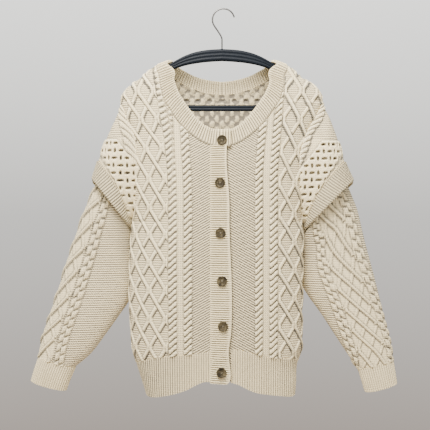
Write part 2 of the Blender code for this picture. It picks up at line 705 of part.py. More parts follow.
def panel(name, skin, outline, relief=None, material="cream_knit", wall=WALL, lift=None,
          columns=(), row_step=30.0, clearance=9.0, inner_columns=(), inner_step=60.0, rails=None):
    """One knitted panel as a closed wall: relief outside, plain inside, a rim round it.

    The outline's points are (u, v, height, kept), where only kept ones are used inside.
    """
    lift = lift or (lambda u, v: 0.0)
    rails = rails or skin.span
    relief = relief or Relief(outline)
    loop = np.array([point[:2] for point in outline], dtype=float)
    count = len(outline)

    outer = [point[:3] for point in outline] + relief.points
    edges = [(i, (i + 1) % count) for i in range(count)]
    edges += [(a + count, b + count) for a, b in relief.edges]
    holes = [[i + count for i in ring] for ring in relief.holes]
    for ring in holes:
        edges += list(zip(ring, ring[1:] + ring[:1]))
    extra = grid_points(skin, loop, columns, row_step, outer, clearance, rails) if columns else []
    outer += [(u, v, 0.0) for u, v in extra]
    flat, faces, origins = triangulate([p[:2] for p in outer], edges, loop, holes)
    heights = [outer[o[0]][2] if o else 0.0 for o in origins]

    bm = bmesh.new()
    top = [bm.verts.new(skin.point(u, v, lift(u, v) + h) * MM) for (u, v), h in zip(flat, heights)]
    place = {o: k for k, ids in enumerate(origins) for o in ids}
    for face in faces:
        bm.faces.new([top[i] for i in face])

    kept = [i for i in range(count) if outline[i][3]]
    inner = [outline[i][:2] for i in kept]
    hole_starts = []
    for ring in relief.holes:
        hole_starts.append(len(inner))
        inner += [relief.points[i][:2] for i in ring]
    inner_edges = [(i, (i + 1) % len(kept)) for i in range(len(kept))]
    inner_holes = []
    for start, ring in zip(hole_starts, relief.holes):
        ids = list(range(start, start + len(ring)))
        inner_holes.append(ids)
        inner_edges += list(zip(ids, ids[1:] + ids[:1]))
    if inner_columns:
        inner_loop = np.array([outline[i][:2] for i in kept])
        inner += grid_points(skin, inner_loop, inner_columns, inner_step, inner, clearance, rails)
    flat2, faces2, origins2 = triangulate(inner, inner_edges, [outline[i][:2] for i in kept], inner_holes)
    under = [bm.verts.new(skin.point(u, v, lift(u, v) - wall) * MM) for u, v in flat2]
    place2 = {o: k for k, ids in enumerate(origins2) for o in ids}
    for face in faces2:
        bm.faces.new([under[i] for i in reversed(face)])

    for k, start in enumerate(kept):
        stop = kept[(k + 1) % len(kept)]
        chain = [start]
        while chain[-1] != stop:
            chain.append((chain[-1] + 1) % count)
        a = under[place2[k]]
        b = under[place2[(k + 1) % len(kept)]]
        half = (len(chain) - 1) // 2
        for i, (p, q) in enumerate(zip(chain, chain[1:])):
            if i == half:
                bm.faces.new([a, b, top[place[p]]])
            bm.faces.new([top[place[p]], b if i >= half else a, top[place[q]]])
    for start, ring in zip(hole_starts, relief.holes):
        for i in range(len(ring)):
            j = (i + 1) % len(ring)
            quad = [top[place[ring[i] + count]], top[place[ring[j] + count]],
                    under[place2[start + j]], under[place2[start + i]]]
            bm.faces.new(quad)
    add_object(name, bm, material)


def along_edge(points):
    """Outline points of a plain edge."""
    return [(u, v, 0.0, True) for u, v in points]


def ribbed_strip(name, skin, top_curve, end_curve, length, pitch, lift=None, rise=RIB_RISE,
                 keep_step=17.0, keep_all=None):
    """A strip whose ribs run from its top edge to its bottom edge.

    The curves give an edge's point at each distance along the strip. Its outline has a point in each
    valley; the ribs' crests start a little way inside.
    """
    ribs = int(round(length / pitch))
    stride = max(int(round(keep_step * ribs / length)), 1)
    edges = []
    for curve in (top_curve, end_curve):
        edge = []
        for k in range(ribs + 1):
            distance = k * length / ribs
            kept = k in (0, ribs) or (k % stride == 0 and ribs - k > stride * 0.6)
            kept = kept or (keep_all is not None and keep_all(distance))
            edge.append((*curve(distance), 0.0, kept))
        edges.append(edge)
    outline = edges[0] + edges[1][::-1]
    relief = Relief(outline)
    for k in range(ribs):
        distance = (k + 0.5) * length / ribs
        top = np.array(top_curve(distance))
        end = np.array(end_curve(distance))
        inset = (end - top) * RIB_END / np.linalg.norm(end - top)
        relief.chain([relief.add(*(top + inset), rise), relief.add(*(end - inset), rise)])
    count = len(outline)
    relief.edges += [(k - count, -1 - k) for k in range(1, ribs)]
    panel(name, skin, outline, relief, lift=lift)


# ---------------------------------------------------------------- neck band
class NeckSkin(Skin):
    """The neck band: u runs round the neck from the under end to the over end, v from the inner
    edge outwards. u is 0 at the centre back."""

    def __init__(self):
        super().__init__()
        rows = []
        for face, inner_x, inner_drop, outer_x, outer_drop in NECK_ROWS:
            rows.append([self.turn(face, inner_x, inner_drop), inner_drop,
                         self.turn(face, outer_x, outer_drop), outer_drop])
        self.rows = np.array(rows)
        steps = []
        for k, (first, second) in enumerate(zip(NECK_ROWS, NECK_ROWS[1:])):
            points = []
            for row, table_row in ((first, self.rows[k]), (second, self.rows[k + 1])):
                inner = body_point(1, table_row[0], table_row[1])
                outer = body_point(1, table_row[2], table_row[3])
                points.append((inner + outer) / 2)
            steps.append(float(np.linalg.norm(points[1] - points[0])))
        self.stations = np.concatenate([[0.0], np.cumsum(steps)])
        self.half_length = float(self.stations[-1])

    @staticmethod
    def turn(face, x, drop):
        """The turn round the body at which a point lies x from the middle."""
        if face == "ridge":
            return math.pi / 2
        row = BODY.at(drop)
        share = min(x / ((row["right"] + row["left"]) / 2), 1.0)
        turn = math.asin(share ** (SIDE_SQUARENESS / 2))
        return turn if face == "front" else math.pi - turn

    def seat(self, u, v):
        """Side, turn and drop of a place on the band, for u from the centre back."""
        side = -1 if u < 0 else 1
        back = self.half_length - abs(u)
        passed = max(-back, 0.0)
        inner_turn, inner_drop, outer_turn, outer_drop = smooth(self.stations, self.rows, max(back, 0.0))
        share = v / NECK_WIDTH
        turn = inner_turn + (outer_turn - inner_turn) * share
        drop = inner_drop + (outer_drop - inner_drop) * share
        return side, turn, drop, passed

    def at(self, u, v):
        side, turn, drop, passed = self.seat(u, v)
        if passed <= 0:
            return body_point(side, min(max(turn, 0.0), math.pi), drop)
        point = body_point(side, 0.0, drop)
        point[0] -= side * passed
        return point

    def span(self, v):
        return -self.half_length - NECK_OVER_END, self.half_length + NECK_UNDER_END

    def normal(self, u, v):
        side, turn, drop, _ = self.seat(u, v)
        return body_normal(side, min(max(turn, 0.0), math.pi), drop)


NECK = NeckSkin()


def neck_edge(side, face, v):
    """Points of the neck band's outer edge on one face, as cloth coordinates of that face."""
    ridge = float(NECK.stations[7])
    start, stop = (0.0, ridge) if face is FRONT else (ridge, NECK.half_length)
    far = list(np.arange(15.0, stop - start, 9.0))
    steps = np.array([0.0, 3.0, 6.0, 10.0] + far[:-1] + [stop - start])
    stations = np.sort(ridge - steps if face is FRONT else ridge + steps)
    out = []
    for station in stations:
        u = side * (NECK.half_length - station)
        u = u if abs(u) > 1e-6 else side * 1e-6
        _, turn, drop, _ = NECK.seat(u, v)
        turn = min(turn, math.pi / 2) if face is FRONT else max(turn, math.pi / 2)
        out.append((face.u_at_turn(side, turn, drop), drop))
    return out


# ---------------------------------------------------------------- the cut pieces
def wale_spread(drop):
    """How far the outer wales lean out towards the shoulder."""
    return min(16.0 * max((290.0 - drop) / 100.0, 0.0) ** 1.5, 28.0)


def hem_place(face, side, share, inner, key):
    """A place on the hem's top or bottom edge, for a share of the way to the side seam."""
    drop = 740.0
    for _ in range(6):
        edge = abs(face.span(drop)[0 if side < 0 else 1])
        u = inner + share * (edge - SEAM_GAP / 2 - inner)
        drop = HEM.at(u / edge)[key]
    return side * u, drop


def side_edge(face, side, top, bottom):
    """Cloth coordinates down the shoulder, armhole and side seam."""
    drops = [top, 124.0, 133.0, 143.0, 155.0, 167.0, 178.0, 190.0]
    drops += list(np.linspace(204.0, ARMHOLE_BOTTOM, 16)) + list(np.linspace(460.0, bottom, 8))
    out = []
    for drop in drops:
        if top <= drop <= bottom:
            end = face.span(drop)[0 if side < 0 else 1]
            out.append((end - side * SEAM_GAP / 2, drop))
    return out


def front_outline(side):
    inner = -OVER_BAND_INNER + SEAM_GAP if side < 0 else UNDER_BAND_INNER + SEAM_GAP
    key = "right_top" if side < 0 else "left_top"
    bottom = [hem_place(FRONT, side, share, inner, key) for share in np.linspace(0, 1, 13)]
    bottom = [(u, drop - HEM_GAP) for u, drop in bottom]
    neck = neck_edge(side, FRONT, NECK_WIDTH + NECK_GAP)
    neck = [point for point in neck if abs(point[0]) > inner + 2.0]
    nearest = neck_edge(side, FRONT, NECK_WIDTH + NECK_GAP)
    corner_drop = float(np.interp(inner, [abs(u) for u, _ in nearest], [drop for _, drop in nearest]))
    corner = (side * inner, corner_drop)
    edge = side_edge(FRONT, side, neck[-1][1] + 5.0, bottom[-1][1] - 8.0)
    neck[-1] = (neck[-1][0] - side * SEAM_GAP / 2, neck[-1][1])
    opening = [(side * inner, drop) for drop in np.linspace(corner_drop, bottom[0][1], 15)[1:-1]]
    points = [corner] + neck + edge + bottom[::-1] + opening[::-1]
    return along_edge(points)


def front(side, name):
    """One front: lattice, rope, plain column, rope and moss, from the side to the placket."""
    outline = front_outline(side)

    def warp(u, v):
        spread = wale_spread(v) * min(max((abs(u) - 84.0) / 8.0, 0.0), 1.0)
        return u + side * spread, v

    relief = Relief(outline, margin=4.5, place=warp)
    if side < 0:
        ropes = ((-106.0, -89.5), (-75.5, -59.0))
        lattice_start = -106.5 - 2 * DIAMOND_WIDTH
    else:
        ropes = ((94.5, 111.0), (65.0, 80.5))
        lattice_start = 111.5
    for u0, u1 in ropes:
        relief.rope(u0, u1, 120.0, 716.0)
    relief.lattice(lattice_start, 100.0, 720.0)
    panel(name, FRONT, outline, relief, columns=BODY_GRID, row_step=60.0, inner_columns=BODY_INNER_GRID,
          inner_step=80.0)


BODY_GRID = (0.02, 0.045, 0.08, 0.13, 0.25, 0.38, 0.62, 0.75, 0.87, 0.92, 0.955, 0.98)
BODY_INNER_GRID = (0.02, 0.05, 0.1, 0.2, 0.35, 0.5, 0.65, 0.8, 0.9, 0.95, 0.98)


def back_outline():
    points = []
    for side in (-1, 1):
        neck = neck_edge(side, BACK, NECK_WIDTH + NECK_GAP)
        neck[0] = (neck[0][0] - side * SEAM_GAP / 2, neck[0][1])
        bottom = [hem_place(BACK, side, share, 0.0, "back_top") for share in np.linspace(0, 1, 13)]
        bottom = [(u, drop - HEM_GAP) for u, drop in bottom]
        edge = side_edge(BACK, side, neck[0][1] + 5.0, bottom[-1][1] - 8.0)
        half = neck[::-1] + edge + bottom[::-1]
        points += half if side < 0 else half[::-1][1:-1]
    return along_edge(points)


def back():
    """The back: a honeycomb centre and a lattice on each side."""
    outline = back_outline()

    def warp(u, v):
        side = -1 if u < 0 else 1
        spread = wale_spread(v) * min(max((abs(u) - 66.0) / 10.0, 0.0), 1.0)
        return u + side * spread, v

    relief = Relief(outline, margin=4.5, place=warp)
    for row in range(9):
        drop = 215.0 + row * 55.0
        for column in range(3):
            u = (column - 1) * 36.0
            lean = 1 if (row + column) % 2 else -1
            relief.spindle(u, drop, lean * 22.0, 40.0, 20.0, STRAND_HALF_WIDTH, STRAND_RISE)
    relief.lattice(-66.0 - 2 * BACK_DIAMOND_WIDTH, 100.0, 720.0, 2, BACK_DIAMOND_WIDTH, BACK_DIAMOND_HEIGHT)
    relief.lattice(66.0, 100.0, 720.0, 2, BACK_DIAMOND_WIDTH, BACK_DIAMOND_HEIGHT)
    panel("back", BACK, outline, relief, columns=BODY_GRID, row_step=60.0, inner_columns=BODY_INNER_GRID,
          inner_step=80.0)


def hems():
    for side, name, top, end in ((-1, "hem_front_right", "right_top", "right_end"),
                                 (1, "hem_front_left", "left_top", "left_end")):
        inner = -OVER_BAND_INNER + SEAM_GAP if side < 0 else UNDER_BAND_INNER + SEAM_GAP
        length = RIGHT_HEM_LENGTH if side < 0 else LEFT_HEM_LENGTH
        ribbed_strip(name, FRONT,
                     lambda s, side=side, inner=inner, top=top, length=length:
                     hem_place(FRONT, side, s / length, inner, top),
                     lambda s, side=side, inner=inner, end=end, length=length:
                     hem_place(FRONT, side, s / length, inner, end),
                     length, HEM_RIB_PITCH)

    def back_place(s, key):
        share = s / BACK_HEM_LENGTH * 2 - 1
        side = -1 if share < 0 else 1
        return hem_place(BACK, side, abs(share), 0.0, key)

    ribbed_strip("hem_back", BACK, lambda s: back_place(s, "back_top"), lambda s: back_place(s, "back_end"),
                 BACK_HEM_LENGTH, HEM_RIB_PITCH)


def neck_band():
    start, stop = NECK.span(0.0)

    def lift(u, v):
        passed = abs(u) - (NECK.half_length - 23.0)
        if passed <= 0:
            return 0.0
        if u < 0:
            return BAND_LIFT * passed / (23.0 + NECK_OVER_END)
        return -UNDER_SINK * passed / (23.0 + NECK_UNDER_END)

    def near_ridge(distance):
        from_ridge = NECK.half_length - abs(start + distance) - float(NECK.stations[7])
        return abs(from_ridge) < RIDGE_REACH

    ribbed_strip("neck_band", NECK, lambda s: (start + s, 0.0), lambda s: (start + s, NECK_WIDTH),
                 stop - start, NECK_RIB_PITCH, lift=lift, keep_step=12.0, keep_all=near_ridge)


def buttonhole_band():
    start = BAND_TOP - 3.6
    length = OVER_BAND_END - start

    def inner_edge(s):
        return OVER_BAND_INNER, start + s

    def free_edge(s):
        drop = BAND_TOP + s * (OVER_BAND_END - BAND_TOP) / length
        return FREE_EDGE.at(drop)["across"], drop

    def lift(u, v):
        free = FREE_EDGE.at(v)["across"]
        return BAND_LIFT * (u - OVER_BAND_INNER) / (free - OVER_BAND_INNER)

    ribbed_strip("buttonhole_band", FRONT, inner_edge, free_edge, length, BAND_RIB_PITCH,
                 lift=lift, rise=BAND_RIB_RISE, keep_step=28.0)


def button_band():
    """The under band: its ribs show only along the edge that the buttonhole band leaves bare."""
    start = BAND_TOP - 3.0
    length = UNDER_BAND_END - start

    def sewn_edge(s):
        return UNDER_BAND_INNER, start + s

    stops = np.linspace(0, length, 24)
    outline = along_edge([sewn_edge(s) for s in stops])
    hidden = [(UNDER_BAND_OUTER, drop) for drop in np.linspace(UNDER_BAND_END, BAND_TOP, 24)]
    outline += along_edge(hidden)

    def lift(u, v):
        return -UNDER_SINK * (UNDER_BAND_INNER - u) / (UNDER_BAND_INNER - UNDER_BAND_OUTER)

    panel("button_band", FRONT, outline, lift=lift)


def cap_rope_line(side, drop):
    """How far from the middle the cap's rope lies."""
    if side < 0:
        return np.interp(drop, (231.0, 318.0), (202.0, 184.0))
    return np.interp(drop, (231.0, 312.0), (204.0, 172.0))


def cap_halves(side, word, rows):
    seam = armhole_loop(side, *CAP_SEAM, TubeSkin.HALF)
    skin = TubeSkin(rows, seam)
    end = skin.length - SEAM_GAP
    for face in ("front", "back"):
        sign = 1 if face == "front" else -1

        def across(v, share, sign=sign):
            half = skin.span(v)[1] if sign > 0 else -skin.span(v)[0]
            return sign * (SEAM_GAP / 2 + share * (half - SEAM_GAP))

        seam_side = [(across(0.4, share), 0.4) for share in np.linspace(0, 1, 25)]
        band_side = [(across(end, share), end) for share in np.linspace(0, 1, 17)]
        fold = [(across(v, 0.0), v) for v in np.linspace(0.4, end, 14)[1:-1]]
        outline = along_edge(seam_side + band_side[::-1] + fold[::-1])
        relief = Relief(outline, margin=3.0)
        cap_rope(relief, skin, side, face)
        cap_holes(relief, skin, side, face)
        panel("cap_%s_%s" % (word, face), skin, outline, relief, columns=CAP_GRID, row_step=24.0,
              rails=lambda v, sign=sign: sorted((0.0, skin.span(v)[1] if sign > 0 else skin.span(v)[0])),
              clearance=8.0, inner_columns=CAP_GRID, inner_step=36.0)


CAP_GRID = (0.04, 0.1, 0.18, 0.3, 0.45, 0.6, 0.75, 0.88, 0.96)


def cap_rope(relief, skin, side, face):
    def place(across, drop):
        return skin.find(side * (cap_rope_line(side, drop) + across), drop, face, 0.0, skin.length)

    relief.place = place
    relief.margin = 2.5
    relief.rope(-7.0, 8.0, 232.0, 316.0)
    relief.place = lambda u, v: (u, v)


def cap_holes(relief, skin, side, face):
    """Rows of openwork, level with each other and staggered."""
    for row in range(8):
        drop = 277.0 + row * HOLE_ROW_PITCH
        for column in range(8):
            x = 238.0 - column * HOLE_PITCH - (row % 2) * HOLE_PITCH / 2
            if drop < 330.0 and x < cap_rope_line(side, drop) + 16.0:
                continue
            corners = []
            for dx, dz in ((HOLE_LENGTH / 2, 0), (0, HOLE_HEIGHT / 2), (-HOLE_LENGTH / 2, 0), (0, -HOLE_HEIGHT / 2)):
                corners.append(skin.find(side * (x + dx), drop + dz, face, 0.0, skin.length))
            sizes = [math.hypot(corners[i][0] - corners[i - 2][0], corners[i][1] - corners[i - 2][1])
                     for i in (2, 3)]
            if min(sizes) > 3.5 and all(relief.inside(u, v, 4.0) for u, v in corners):
                relief.hole(corners)


def tube_strip(name, skin, pitch):
    """A ribbed tube, open at its inner edge by the seam's gap."""
    top, end = 0.0, skin.length
    length = skin.span(end / 2)[1] - skin.span(end / 2)[0]

    def edge(s, v):
        low, high = skin.span(v)
        share = s / length
        return low + SEAM_GAP / 2 + share * (high - low - SEAM_GAP), v

    ribbed_strip(name, skin, lambda s: edge(s, top), lambda s: edge(s, end), length, pitch,
                 keep_step=9.0)


def cap_bands():
    tube_strip("cap_band_right", TubeSkin(RIGHT_CAP_BAND_ROWS), CAP_RIB_PITCH)
    tube_strip("cap_band_left", TubeSkin(LEFT_CAP_BAND_ROWS), CAP_RIB_PITCH)


def cuffs():
    tube_strip("cuff_right", TubeSkin(RIGHT_CUFF_ROWS), CUFF_RIB_PITCH)
    tube_strip("cuff_left", TubeSkin(LEFT_CUFF_ROWS), CUFF_RIB_PITCH)


SLEEVE_GRID = (0.02, 0.05, 0.1, 0.2, 0.32, 0.42, 0.46, 0.5, 0.54, 0.58, 0.68, 0.8, 0.9, 0.95, 0.98)
SLEEVE_INNER_GRID = (0.02, 0.06, 0.16, 0.3, 0.43, 0.5, 0.57, 0.7, 0.84, 0.94, 0.98)


def sleeve(side, name, rows, lattice_at, braids, diamond_width):
    skin = TubeSkin(rows, armhole_loop(side, *SLEEVE_SEAM, TubeSkin.HALF))
    top, end = 0.6, skin.length - SEAM_GAP

    def edge(v, share):
        low, high = skin.span(v)
        return low + SEAM_GAP / 2 + share * (high - low - SEAM_GAP), v

    upper = [edge(top, share) for share in np.linspace(0, 1, 29)]
    lower = [edge(end, share) for share in np.linspace(0, 1, 21)]
    stops = np.linspace(top, end, 12)[1:-1]
    outline = along_edge(upper + [edge(v, 1.0) for v in stops] + lower[::-1]
                         + [edge(v, 0.0) for v in stops[::-1]])
    relief = Relief(outline, margin=4.0)
    pattern_top = 95.0
    relief.lattice(lattice_at, pattern_top, end, width=diamond_width,
                   height=SLEEVE_DIAMOND_HEIGHT)
    for u0 in braids:
        relief.braid(u0, u0 + BRAID_WIDTH, pattern_top + 10.0, end)
    relief.points, relief.edges = drop_above(relief, pattern_top)
    panel(name, skin, outline, relief, columns=SLEEVE_GRID, row_step=50.0,
          clearance=8.0, inner_columns=SLEEVE_INNER_GRID, inner_step=66.0)


def drop_above(relief, top):
    """Leaves out whole raised lines that start above a level."""
    lines = list(range(len(relief.points)))

    def root(i):
        while lines[i] != i:
            i = lines[i]
        return i

    for a, b in relief.edges:
        lines[root(a)] = root(b)
    highest = {}
    for i, point in enumerate(relief.points):
        key = root(i)
        highest[key] = min(highest.get(key, 1e9), point[1])
    kept = [i for i in range(len(relief.points)) if highest[root(i)] >= top - 30.0]
    number = {old: new for new, old in enumerate(kept)}
    edges = [(number[a], number[b]) for a, b in relief.edges if a in number]
    return [relief.points[i] for i in kept], edges


# ---------------------------------------------------------------- hanger and buttons
def swept(name, rings, material):
    """A solid from closed rings of points, with flat ends."""
    bm = bmesh.new()
    verts = [[bm.verts.new(tuple(c * MM for c in point)) for point in ring] for ring in rings]
    size = len(rings[0])
    for a, b in zip(verts, verts[1:]):
        for i in range(size):
            j = (i + 1) % size
            bm.faces.new([a[i], a[j], b[j], b[i]])
    bm.faces.new(verts[0])
    bm.faces.new(verts[-1][::-1])
    bmesh.ops.triangulate(bm, faces=[f for f in bm.faces if len(f.verts) > 4])
    add_object(name, bm, material)


def ridged_section(height, half_depth, ridges):
    """Half depth and height pairs round a bar whose faces carry long ridges."""
    groove = 0.9
    edge = 0.4
    front = [(half_depth * 0.5, 0.0)]
    for k in range(ridges):
        low = height * (0.08 + 0.84 * k / ridges)
        high = height * (0.08 + 0.84 * (k + 1) / ridges)
        middle = (low + high) / 2
        front += [(half_depth - (groove if k else edge), low + 0.2), (half_depth, middle)]
    front += [(half_depth - edge, height * 0.92), (half_depth * 0.5, height)]
    back = [(-depth, h) for depth, h in reversed(front)]
    return front + back


def hanger():
    arch = Table(ARCH_COLUMNS, ARCH_ROWS)
    right = [-x for x in (196.0, 192.0, 184.4, 184.0, 165.0, 138.0, 110.0, 75.0, 38.0)]
    stations = right + [0.0] + [-x for x in reversed(right)]
    rings = []
    for x in stations:
        low = np.searchsorted(arch.rows[:, 0], abs(x), side="right") - 1
        low = min(low, len(arch.rows) - 2)
        if abs(x) >= 184.0:
            pair = arch.rows[low:low + 2]
            top, height = [np.interp(abs(x), pair[:, 0], pair[:, i]) for i in (1, 2)]
        else:
            row = arch.at(abs(x))
            top, height = row["top"], row["height"]
        height = min(height, 15.0) if abs(x) == 184.0 else height
        share = min(abs(x) / 130.0, 1.0)
        half_depth = ARCH_HALF_DEPTH + (ARCH_END_HALF_DEPTH - ARCH_HALF_DEPTH) * share
        rings.append([(x, y, -(top + h)) for y, h in ridged_section(height, half_depth, 2)])
    swept("hanger_arch", rings, "black_plastic")

    rings = []
    for x in np.linspace(-BAR_END, BAR_END, 5):
        sag = 1.6 * (1 - (x / BAR_END) ** 2)
        rings.append([(x, y, -(BAR_TOP - 1.0 + sag + h))
                      for y, h in ridged_section(BAR_HEIGHT, BAR_HALF_DEPTH, 2)])
    swept("hanger_bar", rings, "black_plastic")


def hook_path():
    """The wire's centre line from its tip over the crown to its foot."""
    points = []
    centre_drop = HOOK_RADIUS - WIRE_RADIUS
    for angle in np.linspace(math.radians(13.0), math.radians(212.0), 16):
        points.append((HOOK_CENTRE_X + HOOK_RADIUS * math.cos(angle),
                       centre_drop - HOOK_RADIUS * math.sin(angle)))
    start = np.array(points[-1])
    foot = np.array([0.0, 62.0])
    heading = np.array([0.53, 0.85]) * 30.0
    down = np.array([0.0, 1.0]) * 22.0
    for t in np.linspace(0, 1, 7)[1:]:
        blend = ((2 * t ** 3 - 3 * t ** 2 + 1) * start + (t ** 3 - 2 * t ** 2 + t) * heading
                 + (-2 * t ** 3 + 3 * t ** 2) * foot + (t ** 3 - t ** 2) * down)
        points.append(tuple(blend))
    points.append((0.0, HOOK_FOOT))
    return points


def hook():
    path = [np.array([x, 0.0, -drop]) for x, drop in hook_path()]
    rings = []
    for k, centre in enumerate(path):
        along = path[min(k + 1, len(path) - 1)] - path[max(k - 1, 0)]
        if k == len(path) - 1:
            along = np.array([0.0, 0.0, -1.0])
        along /= np.linalg.norm(along)
        side = np.array([0.0, 1.0, 0.0])
        up = np.cross(along, side)
        ring = []
        for i in range(6):
            angle = 2 * math.pi * i / 6
            ring.append(centre + WIRE_RADIUS * (side * math.cos(angle) + up * math.sin(angle)))
        rings.append(ring)
    swept("hanger_hook", rings, "steel_wire")


class ButtonSkin(Skin):
    """A flat disc that stands on the band."""

    def __init__(self, centre, facing):
        super().__init__()
        self.centre = centre
        self.facing = facing
        self.right = np.cross(np.array([0.0, 0.0, 1.0]), facing)
        self.right /= np.linalg.norm(self.right)
        self.up = np.cross(facing, self.right)

    def at(self, u, v):
        return self.centre + self.right * u + self.up * v

    def normal(self, u, v):
        return self.facing


def circle(radius, count):
    turns = [2 * math.pi * i / count for i in range(count)]
    return [(radius * math.cos(turn), radius * math.sin(turn)) for turn in turns]


def buttons():
    """Dished buttons: a rim that stands up round a sunk middle."""
    for k, (drop, x) in enumerate(zip(BUTTON_DROPS, BUTTON_ACROSS)):
        row = BODY.at(drop)
        band_width = 15.0 - OVER_BAND_INNER
        share = (x - OVER_BAND_INNER) / band_width
        stand = BAND_LIFT * share + (TOP_BUTTON_STAND if drop < BAND_TOP else BUTTON_STAND)
        slope = body_point(1, 0.0, drop - 10.0) - body_point(1, 0.0, drop + 10.0)
        across = np.array([1.0, -BAND_LIFT / band_width, 0.0])
        facing = np.cross(slope, across)
        facing /= np.linalg.norm(facing)
        facing = facing if facing[1] < 0 else -facing
        base = np.array([x, -row["front"], -drop]) + facing * stand
        outline = [(u, v, BUTTON_THICKNESS * 0.62, True) for u, v in circle(BUTTON_RADIUS, BUTTON_SIDES)]
        relief = Relief(outline)
        rim = [relief.add(u, v, BUTTON_THICKNESS) for u, v in circle(BUTTON_RADIUS * 0.84, BUTTON_SIDES)]
        sunk = [relief.add(u, v, BUTTON_THICKNESS * 0.72) for u, v in circle(BUTTON_RADIUS * 0.6, 8)]
        relief.chain(rim, closed=True)
        relief.chain(sunk, closed=True)
        panel("button_%d" % (k + 1), ButtonSkin(base, facing), outline, relief, material="horn", wall=0.0)


def make_materials():
    for name, (colour, roughness, metallic) in MATERIALS.items():
        material = bpy.data.materials.new(name)
        material.use_nodes = True
        shader = material.node_tree.nodes["Principled BSDF"]
        shader.inputs["Base Color"].default_value = (*colour, 1.0)
        shader.inputs["Roughness"].default_value = roughness
        shader.inputs["Metallic"].default_value = metallic


def build():
    for old in list(bpy.data.objects):
        bpy.data.objects.remove(old)
    make_materials()
    front(-1, "front_right")
    front(1, "front_left")
    back()
    hems()
    neck_band()
    buttonhole_band()
    button_band()
    cap_halves(-1, "right", RIGHT_CAP_ROWS)
    cap_halves(1, "left", LEFT_CAP_ROWS)
    cap_bands()
    sleeve(-1, "sleeve_right", RIGHT_SLEEVE_ROWS, -30.0, (46.0,), 37.0)
    sleeve(1, "sleeve_left", LEFT_SLEEVE_ROWS, 31.0, (11.0, 99.0), 33.0)
    cuffs()
    hanger()
    hook()
    buttons()


build()
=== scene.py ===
"""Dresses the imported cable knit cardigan: fine knit shells, buttons, hanger, wire hook and a plain stage.

Cloth sizes are millimetres, as a knitter would write them, and meshes are in metres. The origin is the
point that the hook hangs from; a drop is a height below it. x runs to the wearer's left and y to the
back. Tables for the two sides are kept under -1, the wearer's right, and 1, the wearer's left.
"""

import math

import bpy
import numpy as np
from bpy.props import FloatProperty, FloatVectorProperty, PointerProperty
from bpy.types import Operator, Panel, PropertyGroup
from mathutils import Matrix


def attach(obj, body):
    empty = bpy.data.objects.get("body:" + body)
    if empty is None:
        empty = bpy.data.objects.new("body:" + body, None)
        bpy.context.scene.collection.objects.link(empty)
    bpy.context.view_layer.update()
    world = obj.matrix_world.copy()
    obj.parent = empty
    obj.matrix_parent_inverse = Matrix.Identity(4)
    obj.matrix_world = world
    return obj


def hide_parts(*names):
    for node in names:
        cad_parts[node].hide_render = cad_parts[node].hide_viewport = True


bl_info = {
    "name": "Cable Cardigan Dresser",
    "version": (1, 0, 0),
    "blender": (4, 5, 0),
    "location": "3D View > Sidebar > Cardigan",
    "description": "Builds the fine knit, buttons and hanger of a cable cardigan on its packed frame",
    "category": "Object",
}

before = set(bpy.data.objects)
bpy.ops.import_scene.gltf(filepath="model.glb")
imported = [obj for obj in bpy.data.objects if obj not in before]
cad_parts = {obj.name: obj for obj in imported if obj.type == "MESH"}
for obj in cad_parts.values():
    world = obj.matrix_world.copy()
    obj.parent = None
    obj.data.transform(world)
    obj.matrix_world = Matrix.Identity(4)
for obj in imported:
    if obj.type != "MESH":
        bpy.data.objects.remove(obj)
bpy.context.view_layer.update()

MM = 0.001

# ---------------------------------------------------------------- the cloth
# Thickness of the knit, and clearance of an edge from the side seam
WALL, SEAM = 2.8, 0.2
# How far a panel's edges run in under the piece beside them, and how deep panels and hems lie there
TUCK, TUCK_DEPTH, HEM_TUCK_DEPTH = 4.0, 2.4, 2.0
SIDE_SQUARENESS, SLEEVE_SQUARENESS = 2.5, 2.2
ARMHOLE_TOP, ARMHOLE_BOTTOM = 190.0, 436.0
# A drop within the hem, from which the search for its lines starts
HEM_GUESS = 740.0

# Front bands: where each is sewn on and ends, and how far it stands over or lies behind the front at its
# free edge and where it is sewn
OVER_INNER, UNDER_INNER, UNDER_OUTER = -23.0, 21.0, -10.0
BAND_TOP, OVER_END, UNDER_END = 283.0, 756.0, 752.0
BAND_LIFT, UNDER_SINK, BAND_SEWN = 6.0, 4.0, 0.4
# Rise of the buttonhole band's ribs and of its rolled free edge, and middle and half width of that roll
# as shares of the band
BAND_RISE, ROLL_RISE, ROLL_MIDDLE, ROLL_HALF = 2.4, 2.2, 0.955, 0.06
NECK_WIDTH, NECK_OVER_END, NECK_UNDER_END = 33.0, 17.0, 10.0
# How far before the centre front the neck band starts to lift or sink
NECK_LIFT_START = 23.0

# Pitch of the ribs, and height of a diamond of the fronts' and back's wide lattices
NECK_RIB, BAND_RIB, HEM_RIB, CAP_RIB, CUFF_RIB = 5.3, 4.4, 4.8, 5.3, 4.6
DIAMOND_HEIGHT = 57.0

# Painted shade of a place among the stitches, carried in the yarn's colour: crests are near 0 and take a
# painted highlight, this is level cloth, and depths are near 1; then the painted shade of the furrows
# between ribs, and that of a piece's inside
FLAT_SHADE, FURROW_SHADE, INSIDE_SHADE = 0.35, 0.62, 0.45
# How far round a place its neighbours shade it, and from how far above
SHADE_REACH, SHADE_ABOVE = 3.6, 2.6
# The least share of its flat rectangle that a piece of cloth covers
LEAST_COVER = 0.301

# Columns and rows of each piece's grid
FRONT_GRID, BACK_GRID = (125, 361), (209, 289)
NECK_GRID, BAND_GRID = (865, 13), (13, 577)
HEM_GRID_ROWS = 29
CAP_GRID, CAP_BAND_GRID = (361, 81), (721, 13)
SLEEVE_GRID, CUFF_GRID = (161, 261), (257, 21)

